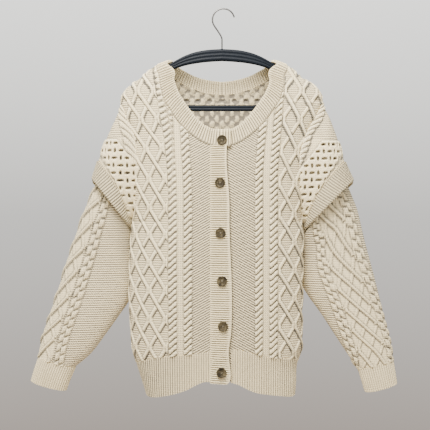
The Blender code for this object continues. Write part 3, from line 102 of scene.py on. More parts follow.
# drop, half width right and left, armhole edge off the middle, depth of front and back, squareness
BODY_ROWS = np.array((
    (95, 75, 75, 0, 4, 4, 2.5), (105, 103, 103, 0, 11, 11, 2.5), (116, 132, 132, 0, 19, 20, 2.5),
    (143, 169, 167, 0, 28, 33, 2.5), (159, 189, 190, 0, 33, 38, 2.4), (178, 204, 204, 0, 38, 42, 2.2),
    (190, 206, 205.5, 0, 41, 44, 1.9), (194, 205.5, 204.5, 6.5, 42, 44.3, 1.8),
    (204, 201, 199, 12, 44, 45.3, 1.65), (221, 194, 190, 18, 48, 47, 1.5),
    (251, 179, 172, 25, 55, 49, 1.35), (287, 172, 157.5, 32, 62, 50, 1.3), (317, 170, 155, 34, 66, 50, 1.3),
    (372, 174, 158, 30, 69, 50, 1.5), (406, 178, 160, 19, 70, 50, 1.8), (424, 180.5, 162.5, 9, 70, 50, 2),
    (432, 181.5, 163.5, 3.5, 70, 50, 2.15), (436, 182, 164, 0, 70, 50, 2.2),
    (450, 184, 166, 0, 70, 50, 2.3), (520, 188, 165, 0, 68, 48, 2.4), (596, 189, 164, 0, 65, 46, 2.4),
    (657, 185, 163, 0, 61, 43, 2.4), (692, 183, 163, 0, 58, 41, 2.4), (726, 173, 152, 0, 54, 39, 2.4),
    (767, 160, 150, 0, 50, 37, 2.4), (800, 150, 147, 0, 48, 36, 2.4),
))
# share of the way from centre to side; top of the hem on right, left, back; its end on the same
HEM_ROWS = np.array((
    (0.00, 692, 688, 700, 753, 754, 764), (0.10, 693, 688, 700, 753, 755, 765),
    (0.20, 695, 690, 700, 754, 760, 766), (0.30, 698, 695, 701, 762, 769, 768),
    (0.40, 701, 700, 703, 771, 776, 771), (0.55, 704, 706, 706, 780, 781, 776),
    (0.70, 709, 709, 710, 786, 785, 781), (0.85, 717, 712, 716, 790, 789, 786),
    (1.00, 723, 721, 722, 788, 788, 787),
))
# drop, and place of the buttonhole band's free edge
FREE_EDGE = np.array((
    (289, 9), (323, 9), (392, 14), (452, 14.5), (570, 19), (649, 18), (692, 13), (735, 17), (750, 15),
    (757, 9),
))
# face (0 front, 1 ridge of the shoulder, 2 back), inner x and drop, outer x and drop
NECK_ROWS = (
    (0, 0, 253, 0, 288), (0, 22, 250, 28, 282), (0, 42, 237, 56, 265), (0, 62, 214, 82, 241),
    (0, 84, 181, 107, 206), (0, 96, 150, 124, 165), (0, 102, 122, 130, 133), (1, 103, 105, 132, 116),
    (2, 98, 112, 122, 129), (2, 81, 121, 95, 145), (2, 55, 133, 62, 160), (2, 27, 140, 30, 169),
    (2, 0, 143, 0, 172),
)
RIDGE_ROW = 7
# a sleeve's rings: depth, how far each edge lies behind the middle
SLEEVE_DEPTHS = (
    (28, 0, 2), (29, 1, 4), (30, 2, 8), (31, 3, 14), (33, 5, 22), (34, 8, 28), (33, 9, 28), (32, 9, 26),
    (31, 9, 22), (29, 8, 17), (27, 7, 12), (25, 6, 9), (23, 5, 7),
)
# the same rings: outer x and drop, inner x and drop
SLEEVE_PLACES = {-1: (
    (-218, 250, -194, 432), (-232, 293, -192, 444), (-245, 330, -186.5, 460), (-256, 355, -186, 476),
    (-271, 388, -182, 496), (-286, 424, -179, 518), (-303, 473, -179, 545), (-318, 516, -183, 572),
    (-333, 565, -193, 600), (-347, 608, -212, 628), (-360, 645, -239, 666), (-371, 682, -270, 707),
    (-376, 714, -303, 735),
), 1: (
    (218, 250, 180, 432), (230, 293, 182, 442), (242, 330, 170, 460), (254, 353, 165, 476),
    (267, 382, 160, 496), (279, 412, 157, 518), (291, 462, 158, 543), (303, 508, 165, 565),
    (315, 553, 180, 591), (327, 602, 206, 627), (337, 645, 233, 669), (346, 683, 261, 711),
    (350.5, 719, 281, 737),
)}
SLEEVE_ROWS = {side: [place + depth for place, depth in zip(places, SLEEVE_DEPTHS)]
               for side, places in SLEEVE_PLACES.items()}
# the last ring again and two more
CUFF_ROWS = {
    -1: (SLEEVE_ROWS[-1][-1], (-384, 738, -314, 760, 22.5, 4, 6), (-391, 762, -322, 782, 22, 4, 6)),
    1: (SLEEVE_ROWS[1][-1], (354.5, 744, 289, 762, 22.5, 4, 6), (358, 767, 296, 785, 22, 4, 6)),
}
# outer x and drop, inner x and drop, depth, how far each edge lies behind the middle, and how far the
# front and the back of a ring are lifted
CAP_ROWS = {-1: (
    (-217, 225, -187, 438, 41, 0, 3, 4, 2), (-232, 262, -187, 437, 46, 1, 5, 12, 6),
    (-244, 298, -187, 436, 48, 2, 8, 21, 12), (-253, 328, -186, 435, 49, 2, 10, 29, 17),
), 1: (
    (219, 222, 170, 438, 41, 0, 3, 4, 2), (232, 259, 170, 437, 46, 1, 5, 11, 6),
    (243, 297, 169, 437, 48, 2, 8, 20, 12), (251, 329, 169, 436, 49, 2, 10, 28, 17),
)}
CAP_BAND_ROWS = {-1: (
    (-253.3, 328.7, -186.1, 435.5, 49, 2, 10, 29, 17), (-259, 342, -186, 447, 50, 2, 11, 21, 6),
    (-265, 355, -186, 458, 50, 2, 12, 13, -5),
), 1: (
    (251.3, 329.7, 169.1, 436.5, 49, 2, 10, 28, 17), (259.5, 344, 169, 448, 50, 2, 11, 20, 6),
    (268.5, 357, 169, 460, 50, 2, 12, 12, -5),
)}

# ---------------------------------------------------------------- the patterns
# name of each front; where its cloth starts, both edges of each rope, start of the lattice, width of a
# diamond, and the wale of the lattice's first column
FRONTS = {
    -1: ("front_right", -OVER_INNER - TUCK, ((59, 75.5), (89.5, 106)), 108, 34.5, 111.5),
    1: ("front_left", UNDER_INNER - TUCK, ((65, 80.5), (94.5, 111)), 113, 37, 112),
}
# drops at which strands of the fronts' lattices meet (right) or cross (left)
MEETINGS = {-1: (231, 289, 350, 407.5, 461, 516, 571, 629, 686),
            1: (200.6, 262.5, 325.4, 389.5, 447.4, 503.4, 559.3, 615.2, 671)}
# drop, and how far the ropes and the lattice lean out there
YOKE = {
    -1: np.array(((120, 17, 34), (231, 9.3, 17.5), (289, 5.3, 7.5), (350, 1.1, 1), (380, 0, 0))),
    1: np.array(((120, 20, 17), (223, 10.8, 9), (284, 4.5, 5), (340, 0, 0), (380, 0, 0))),
}
# the back: edge of the middle lattice, width and height of its diamonds; edge, first wale and width of a
# diamond of the lattices beside it; inner edges of the ropes between them and half a rope's width
BACK_MIDDLE, BACK_MIDDLE_WIDTH, BACK_MIDDLE_HEIGHT = 52, 34, 55
BACK_SIDE, BACK_SIDE_FIRST, BACK_SIDE_WIDTH = 88, 92, 37
BACK_ROPES, BACK_ROPE_HALF = (56, 71), 7
# name and side of each hem, columns of its grid and where its cloth starts
HEMS = (("hem_front_right", -1, 193, -OVER_INNER - TUCK), ("hem_front_left", 1, 177, UNDER_INNER - TUCK),
        ("hem_back", 0, 417, 0))
# width of a diamond on the sleeve, how far it lies from the outer braid, and the inner braid from it
SLEEVE_LATTICE = {-1: (29, 76, 94), 1: (27, 68, 82)}
SLEEVE_DIAMOND_HEIGHT, BRAID_HALF = 47, 9.8
# down the arm, row of the sleeve's lattice
ARM_ROWS = {
    -1: np.array(((106, -1.5), (150, -0.5), (194, 0.5), (237, 1.5), (280, 2.5), (325, 3.5),
                  (373, 4.5), (420, 5.5), (467, 6.5))),
    1: np.array(((42, -1), (104, 0), (167, 1), (229, 2), (279, 3), (325, 4), (368, 5), (413, 6), (458, 7))),
}
# down the arm, middle of the outer braid
ARM_BRAID = {
    -1: np.array(((0, -37), (460, -37))),
    1: np.array(((100, 40), (166, 35), (208, 33), (257, 28), (308, 23), (362, 18), (430, 14))),
}
# drop, and how far the over-sleeve's rope lies from the middle of the body
CAP_ROPE = {
    -1: np.array(((190, 228), (232.9, 200.8), (260.8, 186.6), (287.3, 180.5), (316, 170.8), (340, 162))),
    1: np.array(((190, 234), (233.3, 203.9), (257.4, 182.6), (286.3, 170.6), (308.7, 160.5), (330, 151))),
}
# how far that rope is moved in, half its width, its pitch and slant, and its share of the rope rise
CAP_ROPE_FORM = {-1: (4, 13, 17, 34, 0.6), 1: (0, 7.5, 12.3, 9, 0.9)}
# drop, and how far the openwork's inner edge lies from the middle of the body
LACE_EDGE = {-1: np.array(((262, 222), (277, 211), (323.6, 176.5), (339, 165), (345, 150))),
             1: np.array(((266, 212), (280, 201), (323, 167.5), (337, 156), (343, 140)))}
# first hole's distance from the middle and drop, spacing of columns and rows, parity of wide holes
OPENWORK = {-1: (228.4, 277.9, -11.44, 15.05, 1), 1: (162.2, 280.9, 11.17, 14.26, 0)}
WIDE_HOLE, NARROW_HOLE = (3.9, 2.15), (1.7, 3.5)
# purled inside of the back: width and height of a cell and spacing of the slots; then the heights of the
# row of slots and of the middle of the painted shadow below the hanger's bar
CELL_WIDTH, CELL_HEIGHT, SLOT_SPACING = 21 * MM, 23 * MM, 25 * MM
SLOT_LEVEL, BAR_SHADOW_LEVEL = -182 * MM, -212 * MM

# ---------------------------------------------------------------- the hard pieces
# share of a button's radius, and how deep its face lies there
BUTTON_PROFILE = np.array(((0.0, 1.15), (0.30, 1.15), (0.58, 1.0), (0.70, 0.55), (0.80, 0.10), (0.87, 0.0),
                           (0.94, 0.25), (0.985, 0.9), (1.0, 1.6)))
BUTTON_COUNT, BUTTON_SIDES, BUTTON_BASE = 6, 72, 0.96
HOLE_CIRCLE, HOLE_DEPTH, HOLE_RADII = 2.5, 1.5, (0.75, 1.15)
THREAD_WIDTH, THREAD_HEIGHT, THREAD_STEPS, THREAD_SIDES = 0.4, 0.35, 10, 8
THREAD_FOOT, THREAD_ARCH = 2.0, 1.35
# hanger: distance from the middle, drop of the top, height; then its two shouldered tips
ARCH_ROWS = np.array((
    (0.0, 81.4, 24.4), (33.4, 83.7, 24.4), (60.0, 89.2, 22.6), (82.0, 97.9, 19.0), (102.0, 108.9, 15.6),
    (132.0, 124.5, 14.5), (169.0, 154.5, 14.0), (184.0, 169.0, 14.0),
))
ARCH_TIP = np.array(((184.0, 169.0, 15.0), (184.4, 169.4, 39.5), (192.0, 178.0, 30.0), (196.0, 184.0, 20.0)))
BAR_END, BAR_DROP, BAR_SAG, BAR_HEIGHT, BAR_HALF_DEPTH = 183.7, 195.0, 1.6, 12.4, 4.0
# hook: centre and radius of its bend, where the bend starts and stops, its foot, and the wire's radius
CROWN, CROWN_RADIUS, CROWN_TURN = (3.0, 21.0), 22.6, (13.0, 212.0)
HOOK_FOOT, HOOK_STRAIGHT, WIRE_RADIUS = 62.0, (72.0, 81.5), 1.6

# ---------------------------------------------------------------- the stage, in metres and watts
FLOOR_RADIUS, FLOOR_LEVEL, FLOOR_SIDES = 1.1, -1.3, 96
# name, place, size, power
LAMPS = (("Key", (-0.4, -1.3, 1.25), 1.0, 152.0), ("Fill", (0.3, -1.9, 0.0), 1.6, 34.0),
         ("Rim", (0.5, 1.6, 1.1), 1.4, 14.0))
LAMP_COLOUR, LAMP_AIM = (1.0, 0.97, 0.93), (0.0, 0.0, -0.42)
# where the camera stands, its lens and sensor in mm, and its shift as a share of the frame's width
EYE, LENS, SENSOR, SHIFT = (0.0, -1.54, -0.4219), 62.8, 36.0, -7 / 430


# ---------------------------------------------------------------- cloth surfaces
def smooth(xs, ys, x):
    """Cubic curves through a table's rows at many places at once."""
    x = np.clip(np.asarray(x, float), xs[0], xs[-1])
    k = np.clip(np.searchsorted(xs, x, side="right") - 1, 0, len(xs) - 2)
    low, high = np.maximum(np.arange(len(xs)) - 1, 0), np.minimum(np.arange(len(xs)) + 1, len(xs) - 1)
    extra = (1,) * (ys.ndim - 1)
    slope = (ys[high] - ys[low]) / (xs[high] - xs[low]).reshape((len(xs),) + extra)
    step = (xs[k + 1] - xs[k]).reshape(x.shape + extra)
    t = ((x - xs[k]) / (xs[k + 1] - xs[k])).reshape(x.shape + extra)
    start = (1 + 2 * t) * (1 - t) ** 2 * ys[k] + t * (1 - t) ** 2 * step * slope[k]
    return start + t * t * (3 - 2 * t) * ys[k + 1] + t * t * (t - 1) * step * slope[k + 1]


def soft(value, low, high):
    """0 below one value and 1 above another, with a smooth step between."""
    t = np.clip((value - low) / (high - low), 0, 1)
    return t * t * (3 - 2 * t)


def lengths(points):
    """Distance along each line of points from its first point."""
    steps = np.linalg.norm(np.diff(points, axis=-2), axis=-1)
    return np.concatenate([np.zeros_like(steps[..., :1]), np.cumsum(steps, axis=-1)], axis=-1)


def evenly(points, count):
    """The same line in this many even steps."""
    along = lengths(points)
    wanted = np.linspace(0, along[-1], count + 1)
    return np.stack([np.interp(wanted, along, points[:, i]) for i in range(3)], 1)


def raised(points, facing, height):
    """Points moved out by a height."""
    return points + facing * height[..., None]


def body_place(side, turn, drop):
    """Points of the body; side, turn and drop are arrays of one shape."""
    row = smooth(BODY_ROWS[:, 0], BODY_ROWS[:, 1:], drop)
    right, left, seam, front, back, roundness = np.moveaxis(row, -1, 0)
    seam = np.maximum(seam, 0)
    edge = np.where(side < 0, right, left)
    sweep = np.maximum(np.sin(turn), 0) ** (2 / SIDE_SQUARENESS)
    inward = np.abs(np.cos(turn)) ** (2 / roundness)
    ahead = turn < math.pi / 2
    y = seam + (np.where(ahead, front, back) - seam) * inward
    return np.stack([side * edge * sweep, np.where(ahead, -y, y), -drop], axis=-1)


def body_facing(side, turn, drop):
    """Outward directions on the body."""
    quarter = math.pi / 2
    seam = smooth(BODY_ROWS[:, 0], BODY_ROWS[:, 3:4], drop)[..., 0]
    first, last = turn - 0.03, turn + 0.03
    split = seam > 0.3
    ahead = turn < quarter
    first = np.where(split & ~ahead, np.maximum(first, quarter), first)
    last = np.where(split & ahead, np.minimum(last, quarter - 1e-9), last)
    across = body_place(side, np.abs(last), drop) - body_place(side, np.abs(first), drop)
    middle = (turn < 0.03) | (turn > math.pi - 0.03)
    across = np.where(middle[..., None], np.array([1.0, 0.0, 0.0]), across)
    down = body_place(side, turn, drop + 2) - body_place(side, turn, drop - 2)
    n = np.cross(across, down)
    n /= np.linalg.norm(n, axis=-1, keepdims=True)
    here = body_place(side, turn, drop)
    outward = n[..., 0] * here[..., 0] + n[..., 1] * here[..., 1]
    return n * np.where(outward > 0, 1, -1)[..., None]


class BodyFace:
    """Front or back of the body: u is the cloth's distance from the centre, + to the wearer's left."""

    STEP = 3.0
    DROPS = np.arange(94.0, 806.0, STEP)
    TURNS = np.linspace(0, math.pi / 2, 61)

    def __init__(self, back):
        self.back = back
        self.along = {}
        for side in (-1, 1):
            turns, drops = np.meshgrid(self.TURNS, self.DROPS)
            turns = self.own_turn(turns)
            self.along[side] = lengths(body_place(np.full(turns.shape, side), turns, drops))

    def own_turn(self, turn):
        """A turn from the centre, as it is counted on this face."""
        return math.pi - turn if self.back else np.minimum(turn, math.pi / 2 - 1e-9)

    def rows(self, side, drop):
        """Distances from the centre to each of the turns, at any drops."""
        at = (drop - self.DROPS[0]) / self.STEP
        k = np.clip(at.astype(int), 0, len(self.DROPS) - 2)
        t = (at - k)[..., None]
        return self.along[side][k] * (1 - t) + self.along[side][k + 1] * t

    def edge(self, side, drop):
        """How far the side seam lies from the centre, along the cloth."""
        return self.rows(side, np.asarray(drop, float))[..., -1]

    def turn(self, u, drop):
        """The turn at which a place on the cloth lies."""
        turn = np.zeros(u.shape)
        for side in (-1, 1):
            mine = (u < 0) if side < 0 else (u >= 0)
            if not mine.any():
                continue
            table = self.rows(side, drop[mine])
            wanted = np.abs(u[mine])
            k = np.clip((table < wanted[:, None]).sum(axis=1) - 1, 0, len(self.TURNS) - 2)
            low, high = np.take_along_axis(table, np.stack([k, k + 1], 1), 1).T
            t = np.clip((wanted - low) / np.maximum(high - low, 1e-9), 0, 1)
            turn[mine] = self.TURNS[k] + t * (self.TURNS[1] - self.TURNS[0])
        return self.own_turn(turn)

    def u_of_turn(self, side, turn, drop):
        folded = np.where(turn > math.pi / 2, math.pi - turn, turn)
        table = self.rows(side, drop)
        return side * np.array([np.interp(f, self.TURNS, row) for f, row in zip(folded, table)])

    def cloth(self, u, v):
        """Points and outward directions at cloth coordinates."""
        side = np.where(u < 0, -1, 1)
        turn = self.turn(u, v)
        return body_place(side, turn, v), body_facing(side, turn, v)


FRONT, BACK = BodyFace(False), BodyFace(True)


def armhole_loop(side, out, inset, slimness, half_count):
    """The armhole seam from the underarm at the back over the shoulder to the front.

    It is moved out from the seam, shortened by the inset at both ends and made slimmer.
    """
    share = np.linspace(0, 1, 60)
    full = ARMHOLE_TOP + share * (ARMHOLE_BOTTOM - ARMHOLE_TOP)
    drop = full + inset * (1 - 2 * share)
    halves = []
    for turn in (math.pi / 2 - 1e-9, math.pi / 2):
        sides = np.full(60, side)
        depth = body_place(sides, np.full(60, turn), full)[:, 1] * slimness
        seam = body_place(sides, np.full(60, turn), drop)
        halves.append(evenly(np.stack([seam[:, 0] + side * out, depth, -drop], 1), half_count))
    front, back = halves
    return np.concatenate([back[:0:-1], front])


class Tube:
    """A sleeve: u is 0 at the outer edge, + over the front, and v runs down the arm."""

    HALF = 36
    LIFT_FULLNESS = 0.45

    def __init__(self, rows, first_ring=None):
        rings = [] if first_ring is None else [first_ring]
        self.rings = np.array(rings + [self.ring(*row) for row in rows])
        self.stations = lengths(self.rings.mean(axis=1))
        self.length = float(self.stations[-1])

    def ring(self, outer_x, outer_drop, inner_x, inner_drop, depth, outer_y, inner_y, lift=0, back_lift=0):
        """One row of a table as points round the sleeve, in even steps from the inner edge."""
        outer, inner = np.array([outer_x, outer_y, -outer_drop]), np.array([inner_x, inner_y, -inner_drop])
        turn = np.linspace(-math.pi, math.pi, 4 * self.HALF + 1)
        a, b = (np.sign(f(turn)) * np.abs(f(turn)) ** (2 / SLEEVE_SQUARENESS) for f in (np.cos, np.sin))
        rise = np.where(b > 0, lift, -back_lift) * np.sign(b) * np.abs(b) ** self.LIFT_FULLNESS
        points = (outer + inner) / 2 + (outer - inner) / 2 * a[:, None]
        points = points + np.stack([0 * b, -depth * b, rise], 1)
        middle = 2 * self.HALF
        back, front = (evenly(part, self.HALF) for part in (points[middle::-1], points[middle:]))
        return np.concatenate([back[:0:-1], front])

    def grid(self, v_low, v_high, columns, rows):
        """Cloth coordinates, points and outward directions of an even grid."""
        stations = np.linspace(v_low, v_high, rows)
        rings = smooth(self.stations, self.rings, stations)
        along = lengths(rings)
        middle = along[:, self.HALF:self.HALF + 1]
        at, places = np.linspace(0, 2 * self.HALF, columns), np.arange(2 * self.HALF + 1.0)
        points = np.moveaxis(smooth(places, np.moveaxis(rings, 1, 0), at), 0, 1)
        u = np.stack([np.interp(at, places, row) for row in along - middle])
        v = np.repeat(stations[:, None], columns, axis=1)
        across = np.gradient(points, axis=1)
        across[:, 0] = across[:, -1] = points[:, 1] - points[:, -2]
        down = np.gradient(points, axis=0)
        n = np.cross(across, down)
        n /= np.linalg.norm(n, axis=-1, keepdims=True)
        outward = points - points.mean(axis=1, keepdims=True)
        n *= np.where((n * outward).sum(axis=(1, 2)) > 0, 1, -1)[:, None, None]
        return u, v, points, n


class NeckLine:
    """The neck band: u runs round the neck, 0 at the centre back, and v from the inner edge out."""

    def __init__(self):
        self.rows = np.array([
            (self.turn(face, inner_x, inner), inner, self.turn(face, outer_x, outer), outer)
            for face, inner_x, inner, outer_x, outer in NECK_ROWS])
        one = np.ones(len(self.rows))
        middle = (body_place(one, self.rows[:, 0], self.rows[:, 1])
                  + body_place(one, self.rows[:, 2], self.rows[:, 3])) / 2
        self.stations = lengths(middle)
        self.half = float(self.stations[-1])
        self.ridge = float(self.stations[RIDGE_ROW])

    @staticmethod
    def turn(face, x, drop):
        if face == 1:
            return math.pi / 2
        right, left = smooth(BODY_ROWS[:, 0], BODY_ROWS[:, 1:3], np.array([drop]))[0]
        turn = math.asin(min(x / ((right + left) / 2), 1.0) ** (SIDE_SQUARENESS / 2))
        return turn if face == 0 else math.pi - turn

    def seat(self, u, v):
        """Side, turn and drop of a place on the band, and how far it has passed the centre front."""
        side = np.where(u < 0, -1, 1)
        back = self.half - np.abs(u)
        row = smooth(self.stations, self.rows, np.maximum(back, 0))
        share = v / NECK_WIDTH
        turn = np.clip(row[..., 0] + (row[..., 2] - row[..., 0]) * share, 0, math.pi)
        drop = row[..., 1] + (row[..., 3] - row[..., 1]) * share
        return side, turn, drop, np.maximum(-back, 0)

    def cloth(self, u, v):
        side, turn, drop, passed = self.seat(u, v)
        turn = np.where(passed > 0, 0.0, turn)
        points = body_place(side, turn, drop)
        points[..., 0] -= side * passed
        return points, body_facing(side, turn, drop)

    def outer_edge(self, side, face):
        """The band's outer edge on one face, as u and drop of that face."""
        low, high = (self.ridge, self.half) if face.back else (0.0, self.ridge)
        u = side * np.maximum(self.half - np.linspace(low, high, 90), 1e-6)
        _, turn, drop, _ = self.seat(u, np.full(u.shape, NECK_WIDTH + 0.5))
        turn = np.maximum(turn, math.pi / 2) if face.back else np.minimum(turn, math.pi / 2)
        return np.abs(face.u_of_turn(side, turn, drop)), drop


NECK = NeckLine()


def panel_shares(side, columns):
    """Shares of the way to the side seam, and each half of the panel with the shares that are its own."""
    share = np.linspace(0 if side else -1, 1, columns)
    return share, [(side, share >= 0)] if side else [(-1, share < 0), (1, share >= 0)]


def neck_line(face, side, share, inner):
    """Drops at which a panel meets the neck band, for shares of the way to the side seam."""
    line_u, line_drop = NECK.outer_edge(side, face)
    drops = np.linspace(line_drop.min(), line_drop.max(), 400)
    order = np.argsort(line_drop)
    line = np.interp(drops, line_drop[order], line_u[order])
    edge = face.edge(side, drops) - SEAM
    spot = np.clip((line - inner) / (edge - inner), 0, 1)
    order = np.argsort(spot)
    top = np.interp(share, spot[order], drops[order])
    return np.where(share >= spot.max(), drops[np.argmax(spot)], top)


def hem_line(face, side, share, inner, column):
    """Cloth coordinates of one line of the hem, for shares of the way to the side seam."""
    drop = np.full(share.shape, HEM_GUESS)
    for _ in range(6):
        edge = face.edge(side, drop)
        u = inner + share * (edge - SEAM - inner)
        drop = smooth(HEM_ROWS[:, 0], HEM_ROWS[:, 1:], u / edge)[:, column]
    return u, drop


def body_grid(face, side, inner, columns, rows):
    """Cloth coordinates of a body panel from neck band to hem, with 0 at its tucked edges and 1 past them."""
    share, halves = panel_shares(side, columns)
    u_grid, v_grid, sink = np.zeros((3, rows, columns))
    t = np.linspace(0, 1, rows)[:, None]
    for one, mine in halves:
        own = np.abs(share[mine])
        top = neck_line(face, one, own, inner) - TUCK
        end = hem_line(face, one, own, inner, hem_column(side))[1] + TUCK
        v = top + t * (end - top)
        u_grid[:, mine] = one * (inner + own * (face.edge(one, v) - SEAM - inner))
        v_grid[:, mine] = v
        sink[:, mine] = np.maximum(1 - soft(v - top, 0, TUCK + 2), 1 - soft(end - v, 0, TUCK + 1))
    if side:
        sink = np.maximum(sink, 1 - soft(np.abs(u_grid) - inner, 0, TUCK + 1))
    return u_grid, v_grid, 1 - sink


def body_panel(face, side, inner, columns, rows):
    """The same with the panel's points and outward directions, its tucked edges sunk."""
    u, v, full = body_grid(face, side, inner, columns, rows)
    points, facing = face.cloth(u, v)
    facing = even(facing)
    return u, v, full, raised(points, facing, -TUCK_DEPTH * (1 - full)), facing


def hem_grid(face, side, inner, columns, rows):
    """Cloth coordinates of a hem between its top and its end."""
    share, halves = panel_shares(side, columns)
    lines = np.zeros((2, 2, columns))
    for line, column in zip(lines, (hem_column(side), hem_column(side) + 3)):
        for one, mine in halves:
            u, drop = hem_line(face, one, np.abs(share[mine]), inner, column)
            line[:, mine] = one * u, drop
    t = np.linspace(0, 1, rows)[:, None]
    return tuple(lines[0, i] * (1 - t) + lines[1, i] * t for i in (0, 1))


def hem_column(side):
    """The column of HEM_ROWS, past its first, that holds the top of a side's hem."""
    return {-1: 0, 1: 1, 0: 2}[side]


# ---------------------------------------------------------------- stitch patterns
def lobe(distance, half_width):
    """A rounded strand's cross section, 1 in the middle and 0 at its foot."""
    return np.sqrt(np.clip(1 - (distance / half_width) ** 2, 0, 1))


def near(value, period):
    """Distance from the nearest whole multiple of the period."""
    return np.abs(value - np.round(value / period) * period)


def ribs(distance, pitch, rise):
    """Rounded ribs with narrow valleys."""
    return rise * np.abs(np.cos(math.pi * distance / pitch)) ** 1.5


def furrows(distance, pitch):
    """1 down between the ribs, 0 on them: the weight of the painted shade in the furrows."""
    return np.clip(1.45 - 1.9 * np.abs(np.cos(math.pi * distance / pitch)), 0, 1)


def rope(x, v, half, rise, pitch=12.3, lean=11.0):
    """A rope of slanting leaf-shaped strands, x from its middle."""
    share = np.clip(x / half, -1, 1)
    phase = (v + 0.5 * lean * np.sin(share * math.pi / 2)) / pitch
    strand = lobe(near(phase, 1.0), 0.47 - 0.10 * share ** 2) ** 0.8
    return np.where(np.abs(x) < half, rise * (0.12 + 0.88 * strand) * lobe(share, 1.0) ** 0.5, 0.0)


def braid(x, v, half, rise, pitch=20.0):
    """Two rows of rounded lobes that fold in on each other like stacked hearts."""
    share = np.clip(x / half, -1, 1)
    phase = (v + 7.0 * np.abs(share) ** 1.3 * np.sign(share + 0.2)) / pitch
    strand = lobe(near(phase + np.where(share < 0, 0.5, 0.0), 1.0), 0.44) ** 0.8
    spine = 1 - 0.5 * lobe(share + 0.1, 0.16)
    return np.where(np.abs(x) < half, rise * (0.15 + 0.85 * strand) * spine * lobe(share, 1.0) ** 0.5, 0.0)


def lattice(s, row, width, height, rise, every=1, strand=3.8, lower=0.88):
    """Diamonds of raised strands, and where the strands lie.

    s and row count the columns and rows of places where two strands come together. In every so many of
    the columns they meet, run side by side and part; elsewhere the falling strand crosses over the other.
    """
    t, q = s - np.round(s), row - np.round(row)
    meets = np.mod(np.round(s), every) == 0
    beside, straight = 3.0 / width, 0.09
    slope = (0.5 - beside) / (0.5 - straight)
    bend = np.maximum(np.abs(q) - straight, 0)
    place = np.where(meets, beside + slope * bend, np.abs(q))
    flat = np.where(meets & (bend == 0), 1.0, 1 / math.hypot(1, width / height))
    own = np.abs(np.abs(t) - place) * width * flat
    other = np.abs(1 - place - np.abs(t)) * width * flat
    other = np.where(meets, other, np.minimum(other, (np.abs(t) + np.abs(q)) * width * flat))
    falling = t * q > 0
    over, under = np.where(falling, own, other), np.where(falling, other, own)
    dip = soft(over, strand * 0.8, strand * 1.8)
    h = np.maximum(rise * lobe(over, strand) ** 0.8, rise * lower * dip * lobe(under, strand) ** 0.8)
    return h, np.maximum(lobe(over, strand), dip * lobe(under, strand))


def yoke_wale(side, u, v):
    """The wale that a place on a front belongs to, as they lean out towards the shoulder."""
    size = np.abs(u)
    ropes, net = (np.interp(v, YOKE[side][:, 0], YOKE[side][:, k]) for k in (1, 2))
    return size - ropes - (net - ropes) * np.clip((size - 92.0 - ropes) / 24.0, 0, 1)


def window(x, low, high, blend=1.0):
    """1 between two places and 0 outside."""
    return soft(x, low - blend, low + blend) * soft(-x, -high - blend, -high + blend)


def nearest_hole(side, out, drop):
    """Distance from the middle of the nearest hole, 1 at its edge; wide and narrow holes alternate."""
    first, top, across, down, parity = OPENWORK[side]
    column, line = (out - first) / across, (drop - top) / down
    dx = (column - np.round(column)) * abs(across)
    dy = (line - np.round(line)) * down
    wide = np.hypot((dx + 0.25 * dy) / WIDE_HOLE[0], dy / WIDE_HOLE[1])
    narrow = np.hypot(dx / NARROW_HOLE[0], dy / NARROW_HOLE[1])
    return np.where(np.mod(np.round(column) + np.round(line) + parity, 2) == 0, wide, narrow)


def blur(grid, reach):
    """The grid averaged over some cells up and down and to both sides."""
    for axis in (0, 1):
        size, far = grid.shape[axis], reach[axis]
        padded = np.pad(grid, [(far, far) if axis == k else (0, 0) for k in (0, 1)], mode="edge")
        weights = np.hanning(2 * far + 3)[1:-1]
        grid = sum(w * np.take(padded, range(k, k + size), axis) for k, w in enumerate(weights))
        grid = grid / weights.sum()
    return grid


def painted_stitch_shade(height, points, below):
    """Painted shade by how each place lies among the stitches round it: 0 for crests, painted bright, flat, 1
    for depths.
    """
    rows, columns = (np.linalg.norm(np.diff(points, axis=axis), axis=-1).mean() for axis in (0, 1))
    reach = [max(int(round(SHADE_REACH / step)), 1) for step in (rows, columns)]
    # Painted shade in hollows and a painted shadow under higher stitches just above; crests come out lighter
    sunk = blur(height, reach) - height
    shift = max(int(round(SHADE_ABOVE / rows)), 1)
    above = np.concatenate([height[:1].repeat(shift, 0), height[:-shift]])
    deep = 0.8 * np.maximum(sunk, 0) + 0.9 * below * np.maximum(above - height, 0)
    return np.clip(FLAT_SHADE + 0.65 * deep - 0.28 * np.maximum(-sunk, 0), 0, 1)


def even(facing, reach=(3, 3)):
    """Outward directions without sudden turns."""
    facing = np.stack([blur(facing[..., k], reach) for k in range(3)], -1)
    return facing / np.linalg.norm(facing, axis=-1, keepdims=True)


# ---------------------------------------------------------------- meshes
def add_piece(name, nodes, points, faces, materials, sharp):
    """A smooth piece from points in millimetres, with edges sharp past an angle in degrees."""
    mesh = bpy.data.meshes.new(name)
    mesh.from_pydata((points * MM).tolist(), [], faces)
    mesh.validate()
    for material in materials:
        mesh.materials.append(bpy.data.materials[material])
    mesh.shade_smooth()
    mesh.set_sharp_from_angle(angle=math.radians(sharp))
    piece = bpy.data.objects.new(name, mesh)
    bpy.context.scene.collection.objects.link(piece)
    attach(piece, "root")
    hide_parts(*nodes)
    return piece


